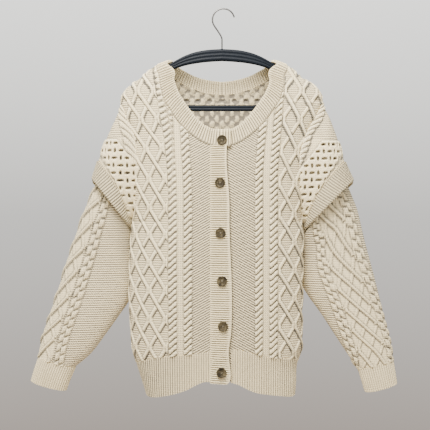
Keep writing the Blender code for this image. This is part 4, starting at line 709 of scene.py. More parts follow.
def knit(name, cloth, height, kinds, nodes=None, skip=4, keep=None, below=1.0, dark=None, under=0.0,
         shade_of_inside=INSIDE_SHADE, purled_inside=False):
    """One piece of knit: a closed shell, raised by its pattern outside, with a plain or coarser inside.

    cloth holds the grid's u, v, points and outward directions, and kinds its shares of moss, purl and
    plain knit. The inside takes every so many rows and columns. keep leaves out the cells of holes. The
    piece stands for the node of its own name, or for some nodes.
    """
    u, v, points, facing = cloth
    rows, columns = height.shape
    # The yarn's colour carries painted shade: darker in hollows and, as below weighs it, under the stitches
    # above, lighter on crests; dark adds painted shade of its own
    level = painted_stitch_shade(height, points, below)
    if dark is not None:
        level = np.maximum(level, FLAT_SHADE + FURROW_SHADE * dark)
    marks = [np.unique(np.append(np.arange(0, size, skip), size - 1)) for size in (rows, columns)]
    some = np.ix_(*marks)
    inner = raised(points, facing, -(WALL + under + 0 * height))[some]
    ids = np.arange(rows * columns).reshape(rows, columns)
    lower = np.arange(inner[..., 0].size).reshape(inner.shape[:2]) + ids.size
    faces = quads(ids, keep) + [face[::-1] for face in quads(lower, keep)]
    for line, stops, ends, flip in ((ids[0], marks[1], lower[0], True), (ids[-1], marks[1], lower[-1], False),
                                    (ids[:, 0], marks[0], lower[:, 0], False),
                                    (ids[:, -1], marks[0], lower[:, -1], True)):
        for k in range(len(stops) - 1):
            run = line[stops[k]:stops[k + 1] + 1].tolist() + [int(ends[k + 1]), int(ends[k])]
            faces.append(run[::-1] if flip else run)
    if keep is not None:
        faces += hole_walls(ids, lower, keep)
    outer = raised(points, facing, height)
    shell = np.concatenate([outer.reshape(-1, 3), inner.reshape(-1, 3)])
    piece = add_piece("knit_" + name, nodes or [name], shell, faces, ("Cream knit",), 60)
    chart = np.stack([u, -v], -1)
    tone = np.stack([*kinds, level], -1)
    inside = tone[some]
    # The inside's painted shade
    inside[..., 3] = np.broadcast_to(shade_of_inside, height.shape)[some]
    if purled_inside:
        inside[..., :3] = 1.0
    paint(piece.data, chart, chart[some], tone, inside)
    width, length, area = cut_size(points)
    area = min(max(area, LEAST_COVER * width * length), width * length)
    return piece


def between(rings, flip=False):
    """The faces between closed rings of vertex numbers."""
    faces = []
    for a, b in zip(rings, rings[1:]):
        a_next, b_next = np.roll(a, -1), np.roll(b, -1)
        faces += np.stack([a, b, b_next, a_next] if flip else [a, a_next, b_next, b], 1).tolist()
    return faces


def quads(ids, keep=None):
    """The faces of a grid of vertex numbers, or those that are kept."""
    q = np.stack([ids[:-1, :-1], ids[:-1, 1:], ids[1:, 1:], ids[1:, :-1]], -1)
    return (q.reshape(-1, 4) if keep is None else q[keep]).tolist()


def paint(mesh, chart, chart_inside, tone, tone_inside):
    """Keeps each place's cloth coordinates, and its kinds of stitch and its painted shade, on the mesh."""
    chart = np.concatenate([chart.reshape(-1, 2), chart_inside.reshape(-1, 2)]) * MM
    loops = np.zeros(len(mesh.loops), np.int32)
    mesh.loops.foreach_get("vertex_index", loops)
    mesh.uv_layers.new(name="Cloth").data.foreach_set("uv", chart[loops].astype(np.float32).reshape(-1))
    tone = np.concatenate([tone.reshape(-1, 4), tone_inside.reshape(-1, 4)]).astype(np.float32)
    mesh.color_attributes.new("Stitch", "FLOAT_COLOR", "POINT").data.foreach_set("color", tone.reshape(-1))


def hole_walls(ids, lower, keep):
    """Walls from the outer to the inner grid round each opening."""
    faces = []
    padded = np.pad(keep, 1, constant_values=True)
    for j, i in zip(*np.nonzero(~keep)):
        corners = [(j, i), (j, i + 1), (j + 1, i + 1), (j + 1, i)]
        neighbours = (padded[j, i + 1], padded[j + 1, i + 2], padded[j + 2, i + 1], padded[j + 1, i])
        for k, open_side in enumerate(neighbours):
            if open_side:
                a, b = corners[k], corners[(k + 1) % 4]
                faces.append([int(lower[b]), int(lower[a]), int(ids[a]), int(ids[b])])
    return faces


def cut_size(points):
    """Width, length and area of the cloth that a grid of points covers, in metres."""
    down, across = (lengths(grid)[..., -1].max() for grid in (np.swapaxes(points, 0, 1), points))
    d1, d2 = points[1:, 1:] - points[:-1, :-1], points[1:, :-1] - points[:-1, 1:]
    area = np.linalg.norm(np.cross(d1, d2), axis=-1).sum() / 2
    return across * MM, down * MM, area * MM * MM


def ribbed(u):
    """The kinds of stitch of a ribbed piece."""
    return 0 * u, 0 * u, 0 * u + 0.5


# ---------------------------------------------------------------- materials
class Wire:
    """A shader socket that takes part in sums."""

    def __init__(self, board, socket):
        self.board = board
        self.socket = socket

    def math(self, operation, *others, swap=False):
        values = [self, *others]
        if swap:
            values = values[::-1]
        return self.board.node("ShaderNodeMath", {"operation": operation}, dict(enumerate(values)))

    def __add__(self, other):
        return self.math("ADD", other)

    def __sub__(self, other):
        return self.math("SUBTRACT", other)

    def __mul__(self, other):
        return self.math("MULTIPLY", other)

    def __rsub__(self, other):
        return self.math("SUBTRACT", other, swap=True)

    def __abs__(self):
        return self.math("ABSOLUTE")

    __radd__ = __add__
    __rmul__ = __mul__

    def at_least(self, value):
        return self.math("MAXIMUM", value)

    def at_most(self, value):
        return self.math("MINIMUM", value)

    def wave(self, period):
        """A cosine of this length, from -1 to 1."""
        return (self * (2 * math.pi / period)).math("COSINE")

    def peak(self, place, steepness):
        """1 at a place, falling off to 0 on both sides."""
        return (1 - abs(self - place) * steepness).at_least(0.0)


class Board:
    """A tree of shader nodes."""

    def __init__(self, tree):
        self.tree = tree

    def node(self, kind, settings=None, values=None, out=0):
        """Adds a node: its settings first, then numbers and links for its inputs; gives one output."""
        node = self.tree.nodes.new(kind)
        for key, value in (settings or {}).items():
            if key == "stops":
                ramp = node.color_ramp
                while len(ramp.elements) < len(value):
                    ramp.elements.new(0.5)
                for element, (place, colour) in zip(ramp.elements, value):
                    element.position = place
                    element.color = (*colour, 1.0)
            else:
                setattr(node, key, value)
        for key, value in (values or {}).items():
            if isinstance(value, Wire):
                self.tree.links.new(value.socket, node.inputs[key])
            else:
                node.inputs[key].default_value = value
        return Wire(self, node.outputs[out])

    def parts(self, wire, kind="ShaderNodeSeparateXYZ"):
        """The three parts of a place or a colour."""
        first = self.node(kind, None, {0: wire})
        return [Wire(self, output) for output in first.socket.node.outputs[:3]]

    def noise(self, place, scale, detail=2.0, distortion=0.0):
        values = {"Vector": place, "Scale": scale, "Detail": detail, "Distortion": distortion}
        return self.node("ShaderNodeTexNoise", None, values)

    def bump(self, height, strength, distance):
        values = {"Strength": strength, "Distance": distance, "Height": height}
        return self.node("ShaderNodeBump", None, values)

    def mix(self, factor, first, second):
        """A blend of two colours, each of them a wire or three numbers."""
        colours = {key: colour if isinstance(colour, Wire) else (*colour, 1.0)
                   for key, colour in ((6, first), (7, second))}
        return self.node("ShaderNodeMix", {"data_type": "RGBA"}, {0: factor, **colours}, out=2)

    def ramp(self, factor, *stops):
        return self.node("ShaderNodeValToRGB", {"stops": stops}, {0: factor})


class Finish(Board):
    """One material and its nodes."""

    def __init__(self, name, roughness, **fixed):
        self.material = bpy.data.materials.new(name)
        self.material.use_nodes = True
        super().__init__(self.material.node_tree)
        self.shader = self.tree.nodes["Principled BSDF"]
        self.shader.inputs["Roughness"].default_value = roughness
        for key, value in fixed.items():
            self.shader.inputs[key.replace("_", " ")].default_value = value

    def place(self):
        """Where a spot lies on the object."""
        return self.node("ShaderNodeTexCoord", None, None, out=3)

    def feed(self, **wires):
        """Links wires to the shader's sockets."""
        for key, wire in wires.items():
            self.tree.links.new(wire.socket, self.shader.inputs[key.replace("_", " ")])


def knit_material(look):
    """Cream yarn: stitches by the kind each place was knitted in, painted shade between them, painted
    highlight on crests.
    """
    board = Finish("Cream knit", 0.9, Sheen_Weight=0.10, Sheen_Roughness=0.5, Specular_IOR_Level=0.15)
    chart = board.node("ShaderNodeUVMap", {"uv_map": "Cloth"})
    u, v, _ = board.parts(chart)
    kinds = board.node("ShaderNodeAttribute", {"attribute_name": "Stitch"})
    moss, purl, plain = board.parts(kinds, "ShaderNodeSeparateColor")
    # Painted shade carried on the mesh: low on crests, high in hollows
    level = Wire(board, kinds.socket.node.outputs["Alpha"])
    inside = (moss + purl + plain - 2.0).at_least(0.0)
    course, wale = look.course, look.wale
    wander = board.noise(chart, 140.0)
    row = v + (wander - 0.5) * 0.0012
    slant = row + abs(u) * 0.55
    seed = slant.wave(course * 1.1) * 1.3 + u.wave(wale * 2) * row.wave(course * 2) * 0.6
    bars = (row + u.wave(wale) * 0.0004).wave(course)
    lean = abs((u * (1 / wale)).math("FRACT") - 0.5)
    vees = (row + lean * (1.1 * wale)).wave(course) * 0.6 + u.wave(wale) * 0.4
    cells = (u + (wander - 0.5) * 0.012).wave(CELL_WIDTH) * (row + (wander - 0.5) * 0.008).wave(CELL_HEIGHT)
    slots = v.peak(SLOT_LEVEL, 190.0) * (u.wave(SLOT_SPACING) + 0.2).at_least(0.0)
    reverse = cells + u.wave(CELL_WIDTH / 2) * 0.3 - slots * 3.0
    pattern = (moss * seed + purl * bars * 0.9 + plain * vees * 0.45) * (1 - inside) + inside * reverse
    # Painted shadow cast by the hanger's bar on the purled inside of the back, just below the bar
    bar_shadow = v.peak(BAR_SHADOW_LEVEL, 34.0) * 0.9
    fibre, tuft = board.noise(chart, 2200.0, 3.0), board.noise(chart, 420.0, 3.0)
    bump = board.bump(pattern * 0.6 + fibre * 0.22 + tuft * 0.35, 1.0, 0.0014)
    cloud = board.noise(chart, 24.0, 3.0)
    # Painted shade in the gaps between stitches and in the inside's hollows and slots, the bar's painted
    # shadow, and clouded tone of the yarn
    between = pattern * -1.7 - 0.05 + inside * bar_shadow + (cloud - 0.5) * 0.35 + (tuft - 0.5) * 0.3
    # Painted highlight on crests, painted shade between stitches, then the darkest painted shade in the
    # depths
    colour = board.mix((level * -3.0 + 1.0).at_least(0.0), look.yarn, look.crest_highlight)
    colour = board.mix(between.at_least(0.0).at_most(1.0), colour, look.shade)
    colour = board.mix((level * 1.54 - 0.54).at_least(0.0).at_most(0.96), colour, look.deep)
    board.feed(Base_Color=colour, Normal=bump)


def horn_material(look):
    """Brown horn with soft lighter clouds."""
    board = Finish("Mottled horn", 0.6, Specular_IOR_Level=0.12)
    dark, light = tuple(look.horn), tuple(look.horn_light)
    middle = tuple((a + b) * 0.4 for a, b in zip(dark, light))
    cloud = board.noise(board.place(), 95.0, 3.0, 1.2)
    board.feed(Base_Color=board.ramp(cloud, (0.36, dark), (0.52, middle), (0.68, light)))


def thread_material(look):
    """Brown sewing thread with a fine twist."""
    board = Finish("Sewing thread", 0.8)
    ply = board.noise(board.place(), 1800.0)
    board.feed(Base_Color=board.mix(ply, look.horn_light, look.shade))


def hanger_material(look):
    """Black plastic with a fine grain, worn here and there."""
    board = Finish("Black moulded plastic", 0.5, Specular_IOR_Level=0.09)
    place = board.place()
    grain, wear = board.noise(place, 900.0), board.noise(place, 60.0, 3.0)
    colour = board.mix(wear, look.plastic, look.plastic_worn)
    board.feed(Base_Color=colour, Roughness=0.40 + wear * 0.2, Normal=board.bump(grain, 0.25, 0.0002))


def wire_material(look):
    """Drawn steel with brighter streaks."""
    board = Finish("Drawn wire", 0.3, Metallic=1.0)
    streak = board.noise(board.place(), 400.0)
    colour = board.mix(streak, look.wire, look.wire_bright)
    board.feed(Base_Color=colour, Roughness=0.22 + streak * 0.2)


def floor_material(look):
    """Pale paint, hardly clouded."""
    board = Finish("Pale floor", 0.8)
    cloud = board.noise(board.place(), 3.0)
    board.feed(Base_Color=board.mix(cloud, look.backdrop_low, [tone * 0.96 for tone in look.backdrop_low]))


def surround(look):
    """Soft surroundings: paler overhead, warmer and darker below, dim on the side of the key light."""
    world = bpy.data.worlds.new("Studio")
    bpy.context.scene.world = world
    world.use_nodes = True
    board = Board(world.node_tree)
    _, y, z = board.parts(board.node("ShaderNodeTexCoord"))
    height = (z * 1.55 + 0.5).at_least(0.0).at_most(1.0)
    colour = board.ramp(height, (0.0, look.backdrop_low), (0.5, look.backdrop), (1.0, look.backdrop_high))
    behind = (y * 1.6 + 0.75).at_least(look.front_dim).at_most(1.0)
    background = world.node_tree.nodes["Background"]
    world.node_tree.links.new(colour.socket, background.inputs["Color"])
    world.node_tree.links.new(behind.socket, background.inputs["Strength"])


# ---------------------------------------------------------------- settings
def colour_setting(name, description, default, top=1):
    return FloatVectorProperty(name=name, description=description, subtype="COLOR", default=default, min=0,
                               max=top)


def length_setting(name, description, default):
    return FloatProperty(name=name, description=description, unit="LENGTH", default=default * MM, min=0,
                         precision=4)


class CardiganLook(PropertyGroup):
    """Sizes and colours that a user would change."""

    rope_rise: length_setting("Rope rise", "How far ropes and braids stand out", 4.2)
    strand_rise: length_setting("Strand rise", "How far lattice strands stand out", 3.0)
    rib_rise: length_setting("Rib rise", "How far the ribs stand out", 2.5)
    course: length_setting("Course", "Height of one row of stitches", 4.6)
    wale: length_setting("Wale", "Width of one stitch", 4.2)
    yarn: colour_setting("Yarn", "Colour of the yarn", (0.79, 0.665, 0.40))
    # Painted light of the yarn: a painted highlight on crests, painted shade between the stitches and the
    # darkest painted shade deep between ropes and ribs
    crest_highlight: colour_setting("Yarn crest", "Colour on the tops of ropes and ribs", (1.0, 0.90, 0.61))
    shade: colour_setting("Yarn shade", "Colour between the stitches", (0.24, 0.205, 0.15))
    deep: colour_setting("Yarn depth", "Colour deep between ropes and ribs", (0.085, 0.078, 0.065))
    horn: colour_setting("Horn", "Dark colour of the buttons", (0.018, 0.014, 0.008))
    horn_light: colour_setting("Horn light", "Light flecks of the buttons", (0.12, 0.095, 0.05))
    plastic: colour_setting("Plastic", "Colour of the hanger", (0.004, 0.006, 0.009))
    plastic_worn: colour_setting("Worn plastic", "Colour where it is worn", (0.009, 0.012, 0.017))
    wire: colour_setting("Wire", "Dark colour of the hook", (0.075, 0.073, 0.068))
    wire_bright: colour_setting("Bright wire", "Bright streaks of the hook", (0.17, 0.166, 0.158))
    backdrop: colour_setting("Surroundings", "Colour level with the eye", (0.86, 0.84, 0.80), 2)
    backdrop_high: colour_setting("Overhead", "Colour of the surroundings above", (1.85, 1.85, 1.78), 3)
    backdrop_low: colour_setting("Floor", "Colour of the floor and below", (0.44, 0.375, 0.325), 2)
    front_dim: FloatProperty(name="Front dim", description="Share of the surroundings' light from in front",
                             subtype="FACTOR", default=0.22, min=0, max=1)


def look():
    """The settings of this scene."""
    return bpy.context.scene.cardigan_look


def rise(kind):
    """How far ropes, lattice strands or ribs stand out, in millimetres."""
    return getattr(look(), kind + "_rise") / MM


# ---------------------------------------------------------------- operators
class CARDIGAN_OT_materials(Operator):
    """Mix the yarn, horn, thread, plastic and wire, and the floor's paint"""

    bl_idname = "cardigan.materials"
    bl_label = "Mix materials"

    def execute(self, context):
        for mix in (knit_material, horn_material, thread_material, hanger_material, wire_material,
                    floor_material):
            mix(look())
        return {"FINISHED"}


class CARDIGAN_OT_fronts(Operator):
    """Knit both fronts: moss, two ropes with a plain column between, and a lattice"""

    bl_idname = "cardigan.fronts"
    bl_label = "Knit fronts"

    def execute(self, context):
        for side, (name, inner, ropes, start, width, first) in FRONTS.items():
            u, v, full, points, facing = body_panel(FRONT, side, inner, *FRONT_GRID)
            wale = yoke_wale(side, u, v)
            row = self.lattice_row(side, v)
            net, strands = lattice((wale - first) / width * side, row, width, DIAMOND_HEIGHT, rise("strand"))
            inside = window(wale, start, 250.0, 1.5)
            height = net * inside
            for low, high in ropes:
                twist = rope((wale - (low + high) / 2) * side, v, (high - low) / 2, rise("rope"))
                height = np.maximum(height, twist)
            moss = soft(-wale, -ropes[0][0] - 1, -ropes[0][0] + 1)
            purl = 0.6 * inside * (1 - np.clip(strands, 0, 1))
            plain = np.clip(1 - moss - purl, 0, 1) * (1 - 0.5 * inside)
            knit(name, (u, v, points, facing), height * full, (moss, purl, plain))
        return {"FINISHED"}

    @staticmethod
    def lattice_row(side, v):
        """The row of diamonds at a drop, carried on evenly above and below the table."""
        drops = np.array(MEETINGS[side])
        rows = np.arange(len(drops)) + (0.0 if side < 0 else 0.5)
        drops = np.concatenate([drops[0] - (180.0, 120.0, 60.0), drops, drops[-1] + (57.0, 114.0)])
        rows = np.concatenate([rows[0] - (3.0, 2.0, 1.0), rows, rows[-1] + (1.0, 2.0)])
        return smooth(drops, rows[:, None], v)[..., 0]


class CARDIGAN_OT_back(Operator):
    """Knit the back: a lattice centre with wider lattices beside it, and its purled inside"""

    bl_idname = "cardigan.back"
    bl_label = "Knit back"

    def execute(self, context):
        u, v, full, points, facing = body_panel(BACK, 0, 0.0, *BACK_GRID)
        size, side = np.abs(u), np.sign(u)
        size = size + (yoke_wale(1, u, v) - size) * soft(size, 40.0, 110.0)
        middle, beside = window(size, -12.0, BACK_MIDDLE), window(size, BACK_SIDE, 250.0)
        centre, strands = lattice(size / BACK_MIDDLE_WIDTH * side, v / BACK_MIDDLE_HEIGHT, BACK_MIDDLE_WIDTH,
                                  BACK_MIDDLE_HEIGHT, rise("strand"))
        wide, wide_strands = lattice((size - BACK_SIDE_FIRST) / BACK_SIDE_WIDTH * side, v / DIAMOND_HEIGHT,
                                     BACK_SIDE_WIDTH, DIAMOND_HEIGHT, rise("strand"))
        height = centre * middle + wide * beside
        for low in BACK_ROPES:
            twist = rope((size - low - BACK_ROPE_HALF) * side, v, BACK_ROPE_HALF, rise("rope"))
            height = np.maximum(height, twist)
        purl = middle * (1 - np.clip(strands, 0, 1)) + beside * (1 - np.clip(wide_strands, 0, 1))
        knit("back", (u, v, points, facing), height * full, (0 * u, purl, 1 - purl),
             purled_inside=True)
        return {"FINISHED"}


class CARDIGAN_OT_hems(Operator):
    """Knit the ribbed hem on each front and the back"""

    bl_idname = "cardigan.hems"
    bl_label = "Knit hems"

    def execute(self, context):
        for name, side, columns, inner in HEMS:
            face = FRONT if side else BACK
            u, v = hem_grid(face, side, inner, columns, HEM_GRID_ROWS)
            points, facing = face.cloth(u, v)
            if side:
                points = raised(points, facing, -HEM_TUCK_DEPTH * (1 - soft(np.abs(u) - inner, 0, TUCK + 1)))
            # Painted shade in the furrows between the ribs
            knit(name, (u, v, points, facing), ribs(u, HEM_RIB, rise("rib") * 0.7), ribbed(u),
                 dark=furrows(u, HEM_RIB) * 0.6)
        return {"FINISHED"}


class CARDIGAN_OT_neck(Operator):
    """Knit the neck band, ribbed on both faces, its ends over and under each other at the front"""

    bl_idname = "cardigan.neck"
    bl_label = "Knit neck band"

    def execute(self, context):
        start, stop = -NECK.half - NECK_OVER_END, NECK.half + NECK_UNDER_END
        u, v = np.meshgrid(np.linspace(start, stop, NECK_GRID[0]), np.linspace(0, NECK_WIDTH, NECK_GRID[1]))
        passed = np.maximum(np.abs(u) - (NECK.half - NECK_LIFT_START), 0)
        lift = np.where(u < 0, BAND_LIFT * passed / (NECK_LIFT_START + NECK_OVER_END),
                        -UNDER_SINK * passed / (NECK_LIFT_START + NECK_UNDER_END))
        points, facing = NECK.cloth(u, v)
        facing = even(facing, (2, 10))
        points = raised(points, facing, lift + 0.8)
        rim = 1 - 0.8 * (1 - soft(v, 0, 4.0)) - 0.8 * (1 - soft(NECK_WIDTH - v, 0, 3.0))
        flat = 0.1 + 0.9 * soft(np.abs(NECK.half - np.abs(u) - NECK.ridge), 8.0, 30.0)
        turned = u + NECK_RIB / 2
        under = ribs(turned, NECK_RIB, rise("rib") * 0.6) * rim * flat
        # Painted shade in the furrows of both faces, the inner one's fading near the shoulder ridge
        knit("neck_band", (u, v, points, facing), ribs(u, NECK_RIB, rise("rib")) * rim,
             ribbed(u), skip=1, dark=furrows(u, NECK_RIB) * rim, under=under,
             shade_of_inside=0.3 + 0.5 * (furrows(turned, NECK_RIB) * rim * flat))
        return {"FINISHED"}


class CARDIGAN_OT_bands(Operator):
    """Knit the buttonhole band, with its rolled free edge, and the button band under it"""

    bl_idname = "cardigan.bands"
    bl_label = "Knit front bands"

    def execute(self, context):
        self.buttonhole_band()
        self.button_band()
        return {"FINISHED"}

    @staticmethod
    def grid(end):
        """Drops, shares of the way across, and the free edge's place at each drop."""
        v, share = np.meshgrid(np.linspace(BAND_TOP, end, BAND_GRID[1]), np.linspace(0, 1, BAND_GRID[0]),
                               indexing="ij")
        return v, share, smooth(FREE_EDGE[:, 0], FREE_EDGE[:, 1:], v[:, 0])

    def buttonhole_band(self):
        v, share, free = self.grid(OVER_END)
        u = OVER_INNER - 0.5 + share * (free - OVER_INNER + 0.5)
        points, facing = FRONT.cloth(u, v)
        points = raised(points, facing, BAND_SEWN + (BAND_LIFT - BAND_SEWN) * share)
        rim = 1 - 0.7 * (1 - soft(share, 0, 0.12)) - 0.7 * (1 - soft(1 - share, 0, 0.12))
        rolled = np.clip(1 - np.abs(share - ROLL_MIDDLE) / ROLL_HALF, 0, 1) ** 0.5
        height = np.maximum(ribs(v, BAND_RIB, BAND_RISE) * rim, ROLL_RISE * rolled)
        # Painted shade in the furrows but not on the rolled edge, and no painted shadow under the stitches
        # above
        knit("buttonhole_band", (u, v, points, facing), height, (0 * u, 0 * u, 0 * u),
             below=0.0, dark=furrows(v, BAND_RIB) * rim * (1 - rolled))

    def button_band(self):
        v, share, free = self.grid(UNDER_END)
        u = UNDER_OUTER + share * (UNDER_INNER + 0.5 - UNDER_OUTER)
        points, facing = FRONT.cloth(u, v)
        points = raised(points, facing, BAND_SEWN - UNDER_SINK * (1 - share))
        # Painted shadow of the buttonhole band's free edge, fading a few millimetres past it
        knit("button_band", (u, v, points, facing), 0 * v, (0 * u + 1, 0 * u, 0 * u),
             below=0.0, dark=0.7 * (1 - soft(u - free, 0.5, 4.0)))


class CARDIGAN_OT_caps(Operator):
    """Knit the openwork over-sleeves, with a rope round the armhole, and their ribbed bands"""

    bl_idname = "cardigan.caps"
    bl_label = "Knit over-sleeves"

    def execute(self, context):
        for side, word in ((-1, "right"), (1, "left")):
            self.cap(side, word)
            self.cap_band(side, word)
        return {"FINISHED"}

    def cap(self, side, word):
        tube = Tube(CAP_ROWS[side], armhole_loop(side, -2.0, 0.0, 1.0, Tube.HALF))
        _, v, points, facing = tube.grid(0.4, tube.length - 0.4, *CAP_GRID)
        out = np.abs(points[..., 0]) + 0.6 * (points[..., 1] + 44.0)
        drop = -points[..., 2]
        inward, half, pitch, slant, share = CAP_ROPE_FORM[side]
        beside = (out - np.interp(drop, *CAP_ROPE[side].T)) * 0.85 - inward
        height = rope(beside, drop, half, rise("rope") * share, pitch, slant) * soft(v, 0.5, 4.0)
        top = OPENWORK[side][1]
        lace = soft(out - np.interp(drop, *LACE_EDGE[side].T), -1.5, 1.5) * soft(drop, top - 9.0, top - 7.0)
        lace = lace * soft(tube.length - v, 3.0, 9.0)
        height = np.maximum(height, lace * (0.2 + 2.6 * soft(nearest_hole(side, out, drop), 0.75, 1.9)))
        out_middle, drop_middle, lace_middle = ((g[:-1, :-1] + g[1:, 1:]) / 2 for g in (out, drop, lace))
        keep = ~((nearest_hole(side, out_middle, drop_middle) < 1) & (lace_middle > 0.9))
        purl = 0.75 * (1 - soft(drop, top - 14.0, top - 8.0)) * (1 - soft(height, 0.3, 1.2))
        # Only a weak painted shadow under the stitches above, so the lace's lower edge is not painted dark
        knit("cap_" + word, (side * out, drop, points, facing), height,
             (0 * v, purl, (1 - lace * 0.6) * (1 - purl)), skip=1, keep=keep, below=0.3,
             nodes=["cap_%s_front" % word, "cap_%s_back" % word])

    def cap_band(self, side, word):
        tube = Tube(CAP_BAND_ROWS[side])
        u, v, points, facing = tube.grid(0.0, tube.length, *CAP_BAND_GRID)
        points = points + facing * 0.8
        slanted = np.abs(u) + 0.75 * v
        rim = 1 - 0.6 * (1 - soft(tube.length - v, 0, 3.0))
        # Painted shade in the furrows between the slanting ribs
        knit("cap_band_" + word, (u, v, points, facing),
             ribs(slanted, CAP_RIB, rise("rib")) * rim, ribbed(u), dark=furrows(slanted, CAP_RIB) * rim)


class CARDIGAN_OT_sleeves(Operator):
    """Knit the long sleeves, with a lattice between two braids, and their ribbed cuffs"""

    bl_idname = "cardigan.sleeves"
    bl_label = "Knit sleeves"

    def execute(self, context):
        for side, word in ((-1, "right"), (1, "left")):
            self.sleeve(side, word)
            self.cuff(side, word)
        return {"FINISHED"}

    def sleeve(self, side, word):
        width, to_lattice, to_inner = SLEEVE_LATTICE[side]
        tube = Tube(SLEEVE_ROWS[side], armhole_loop(side, 0.3, 14.0, 0.9, Tube.HALF))
        u, v, points, facing = tube.grid(0.6, tube.length - 0.4, *SLEEVE_GRID)
        drop = -points[..., 2]
        outer = np.interp(v, *ARM_BRAID[side].T)
        row = smooth(ARM_ROWS[side][:, 0], ARM_ROWS[side][:, 1:], v)[..., 0]
        edge = outer + to_lattice
        net, strands = lattice((edge - u) / width, row, width, SLEEVE_DIAMOND_HEIGHT, rise("strand") * 1.4,
                               every=2, strand=3.1, lower=0.4)
        inside = window(u, edge - 2 * width - 3.5, edge + 3.5)
        height, braided = net * inside, 0 * u
        for middle in (outer, outer + to_inner):
            height = np.maximum(height, braid(u - middle, v, BRAID_HALF, rise("rope")))
            braided = np.maximum(braided, window(u - middle, -BRAID_HALF, BRAID_HALF))
        plain = np.maximum(braided, inside * np.clip(strands, 0, 1)) * 0.8
        purl = (1 - plain) * (0.9 - 0.7 * inside)
        # Painted shade where the sleeve lies close beside the body, fading down the arm
        body = smooth(BODY_ROWS[:, 0], BODY_ROWS[:, 1:3], drop)[..., 0 if side < 0 else 1]
        shaded = (1 - soft(np.abs(points[..., 0]) - body, 2.0, 34.0)) * (1 - soft(v, 150.0, 260.0))
        knit("sleeve_" + word, (u, drop, points, facing), height * soft(v, 40.0, 80.0),
             (0 * u, purl, plain), dark=shaded * 0.3)

    def cuff(self, side, word):
        tube = Tube(CUFF_ROWS[side])
        u, v, points, facing = tube.grid(0.0, tube.length, *CUFF_GRID)
        points = points + facing * 0.5
        around = np.linspace(0, u[6, -1] - u[6, 0], u.shape[1])[None, :].repeat(len(u), 0)
        # Painted shade in the furrows between the ribs
        knit("cuff_" + word, (u, v, points, facing),
             ribs(around, CUFF_RIB, rise("rib") * 0.6), ribbed(u), dark=furrows(around, CUFF_RIB) * 0.4)


class CARDIGAN_OT_buttons(Operator):
    """Turn the six dished buttons, each with four holes and its crossed thread"""

    bl_idname = "cardigan.buttons"
    bl_label = "Turn buttons"

    def execute(self, context):
        for k in range(BUTTON_COUNT):
            self.turn("button_%d" % (k + 1))
        return {"FINISHED"}

    def turn(self, node):
        """One button as wide and thick as the plain one that it stands for."""
        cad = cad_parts[node]
        corners = np.array([cad.matrix_world @ vertex.co for vertex in cad.data.vertices]) / MM
        low, high = corners.min(axis=0), corners.max(axis=0)
        (x0, _, z0), radius, front, back = (low + high) / 2, (high[0] - low[0]) / 2, low[1], high[1]
        shares = np.concatenate([np.linspace(0.02, 0.5, 22), np.linspace(0.54, 1.0, 14)])
        turns = np.linspace(0, 2 * math.pi, BUTTON_SIDES + 1)[:-1]
        r, t = np.meshgrid(shares * radius, turns, indexing="ij")
        x, z = r * np.cos(t), r * np.sin(t)
        depth = np.interp(r / radius, *BUTTON_PROFILE.T)
        for hole in range(4):
            angle = math.pi / 4 + hole * math.pi / 2
            away = np.hypot(x - HOLE_CIRCLE * math.cos(angle), z - HOLE_CIRCLE * math.sin(angle))
            depth = depth + HOLE_DEPTH * (1 - soft(away, *HOLE_RADII))
        base = np.stack([x0 + x[-1:] * BUTTON_BASE, 0 * x[-1:] + back, z0 + z[-1:] * BUTTON_BASE], -1)
        rings = np.concatenate([np.stack([x0 + x, front + depth, z0 + z], -1), base])
        ids = np.arange(rings[..., 0].size).reshape(rings.shape[:2])
        faces = [ids[0][::-1].tolist(), ids[-1].tolist()] + between(ids)
        points, horn_faces = [rings.reshape(-1, 3)], len(faces)
        for turn in (math.pi / 4, 3 * math.pi / 4):
            strand, ends = self.thread(np.array((x0, front, z0)), turn, sum(len(part) for part in points))
            points.append(strand)
            faces += ends
        piece = add_piece("fine_" + node, [node], np.concatenate(points), faces,
                          ("Mottled horn", "Sewing thread"), 50)
        for polygon in piece.data.polygons[horn_faces:]:
            polygon.material_index = 1

    @staticmethod
    def thread(middle, angle, first):
        """One arched strand of thread between two opposite holes, as a closed tube."""
        along = np.array((math.cos(angle), 0, math.sin(angle)))
        beside, up = np.array((-math.sin(angle), 0, math.cos(angle))), np.array((0, -1.0, 0))
        step = np.linspace(-1, 1, THREAD_STEPS + 1)[:, None, None]
        turn = np.linspace(0, 2 * math.pi, THREAD_SIDES + 1)[None, :-1, None]
        foot = THREAD_ARCH * np.clip(np.cos(step * math.pi / 2), 0, 1) ** 0.5 - THREAD_FOOT
        points = (middle + along * HOLE_CIRCLE * step + up * foot
                  + beside * np.cos(turn) * THREAD_WIDTH + up * np.sin(turn) * THREAD_HEIGHT)
        ids = first + np.arange(points[..., 0].size).reshape(points.shape[:2])
        return points.reshape(-1, 3), between(ids) + [ids[0][::-1].tolist(), ids[-1].tolist()]


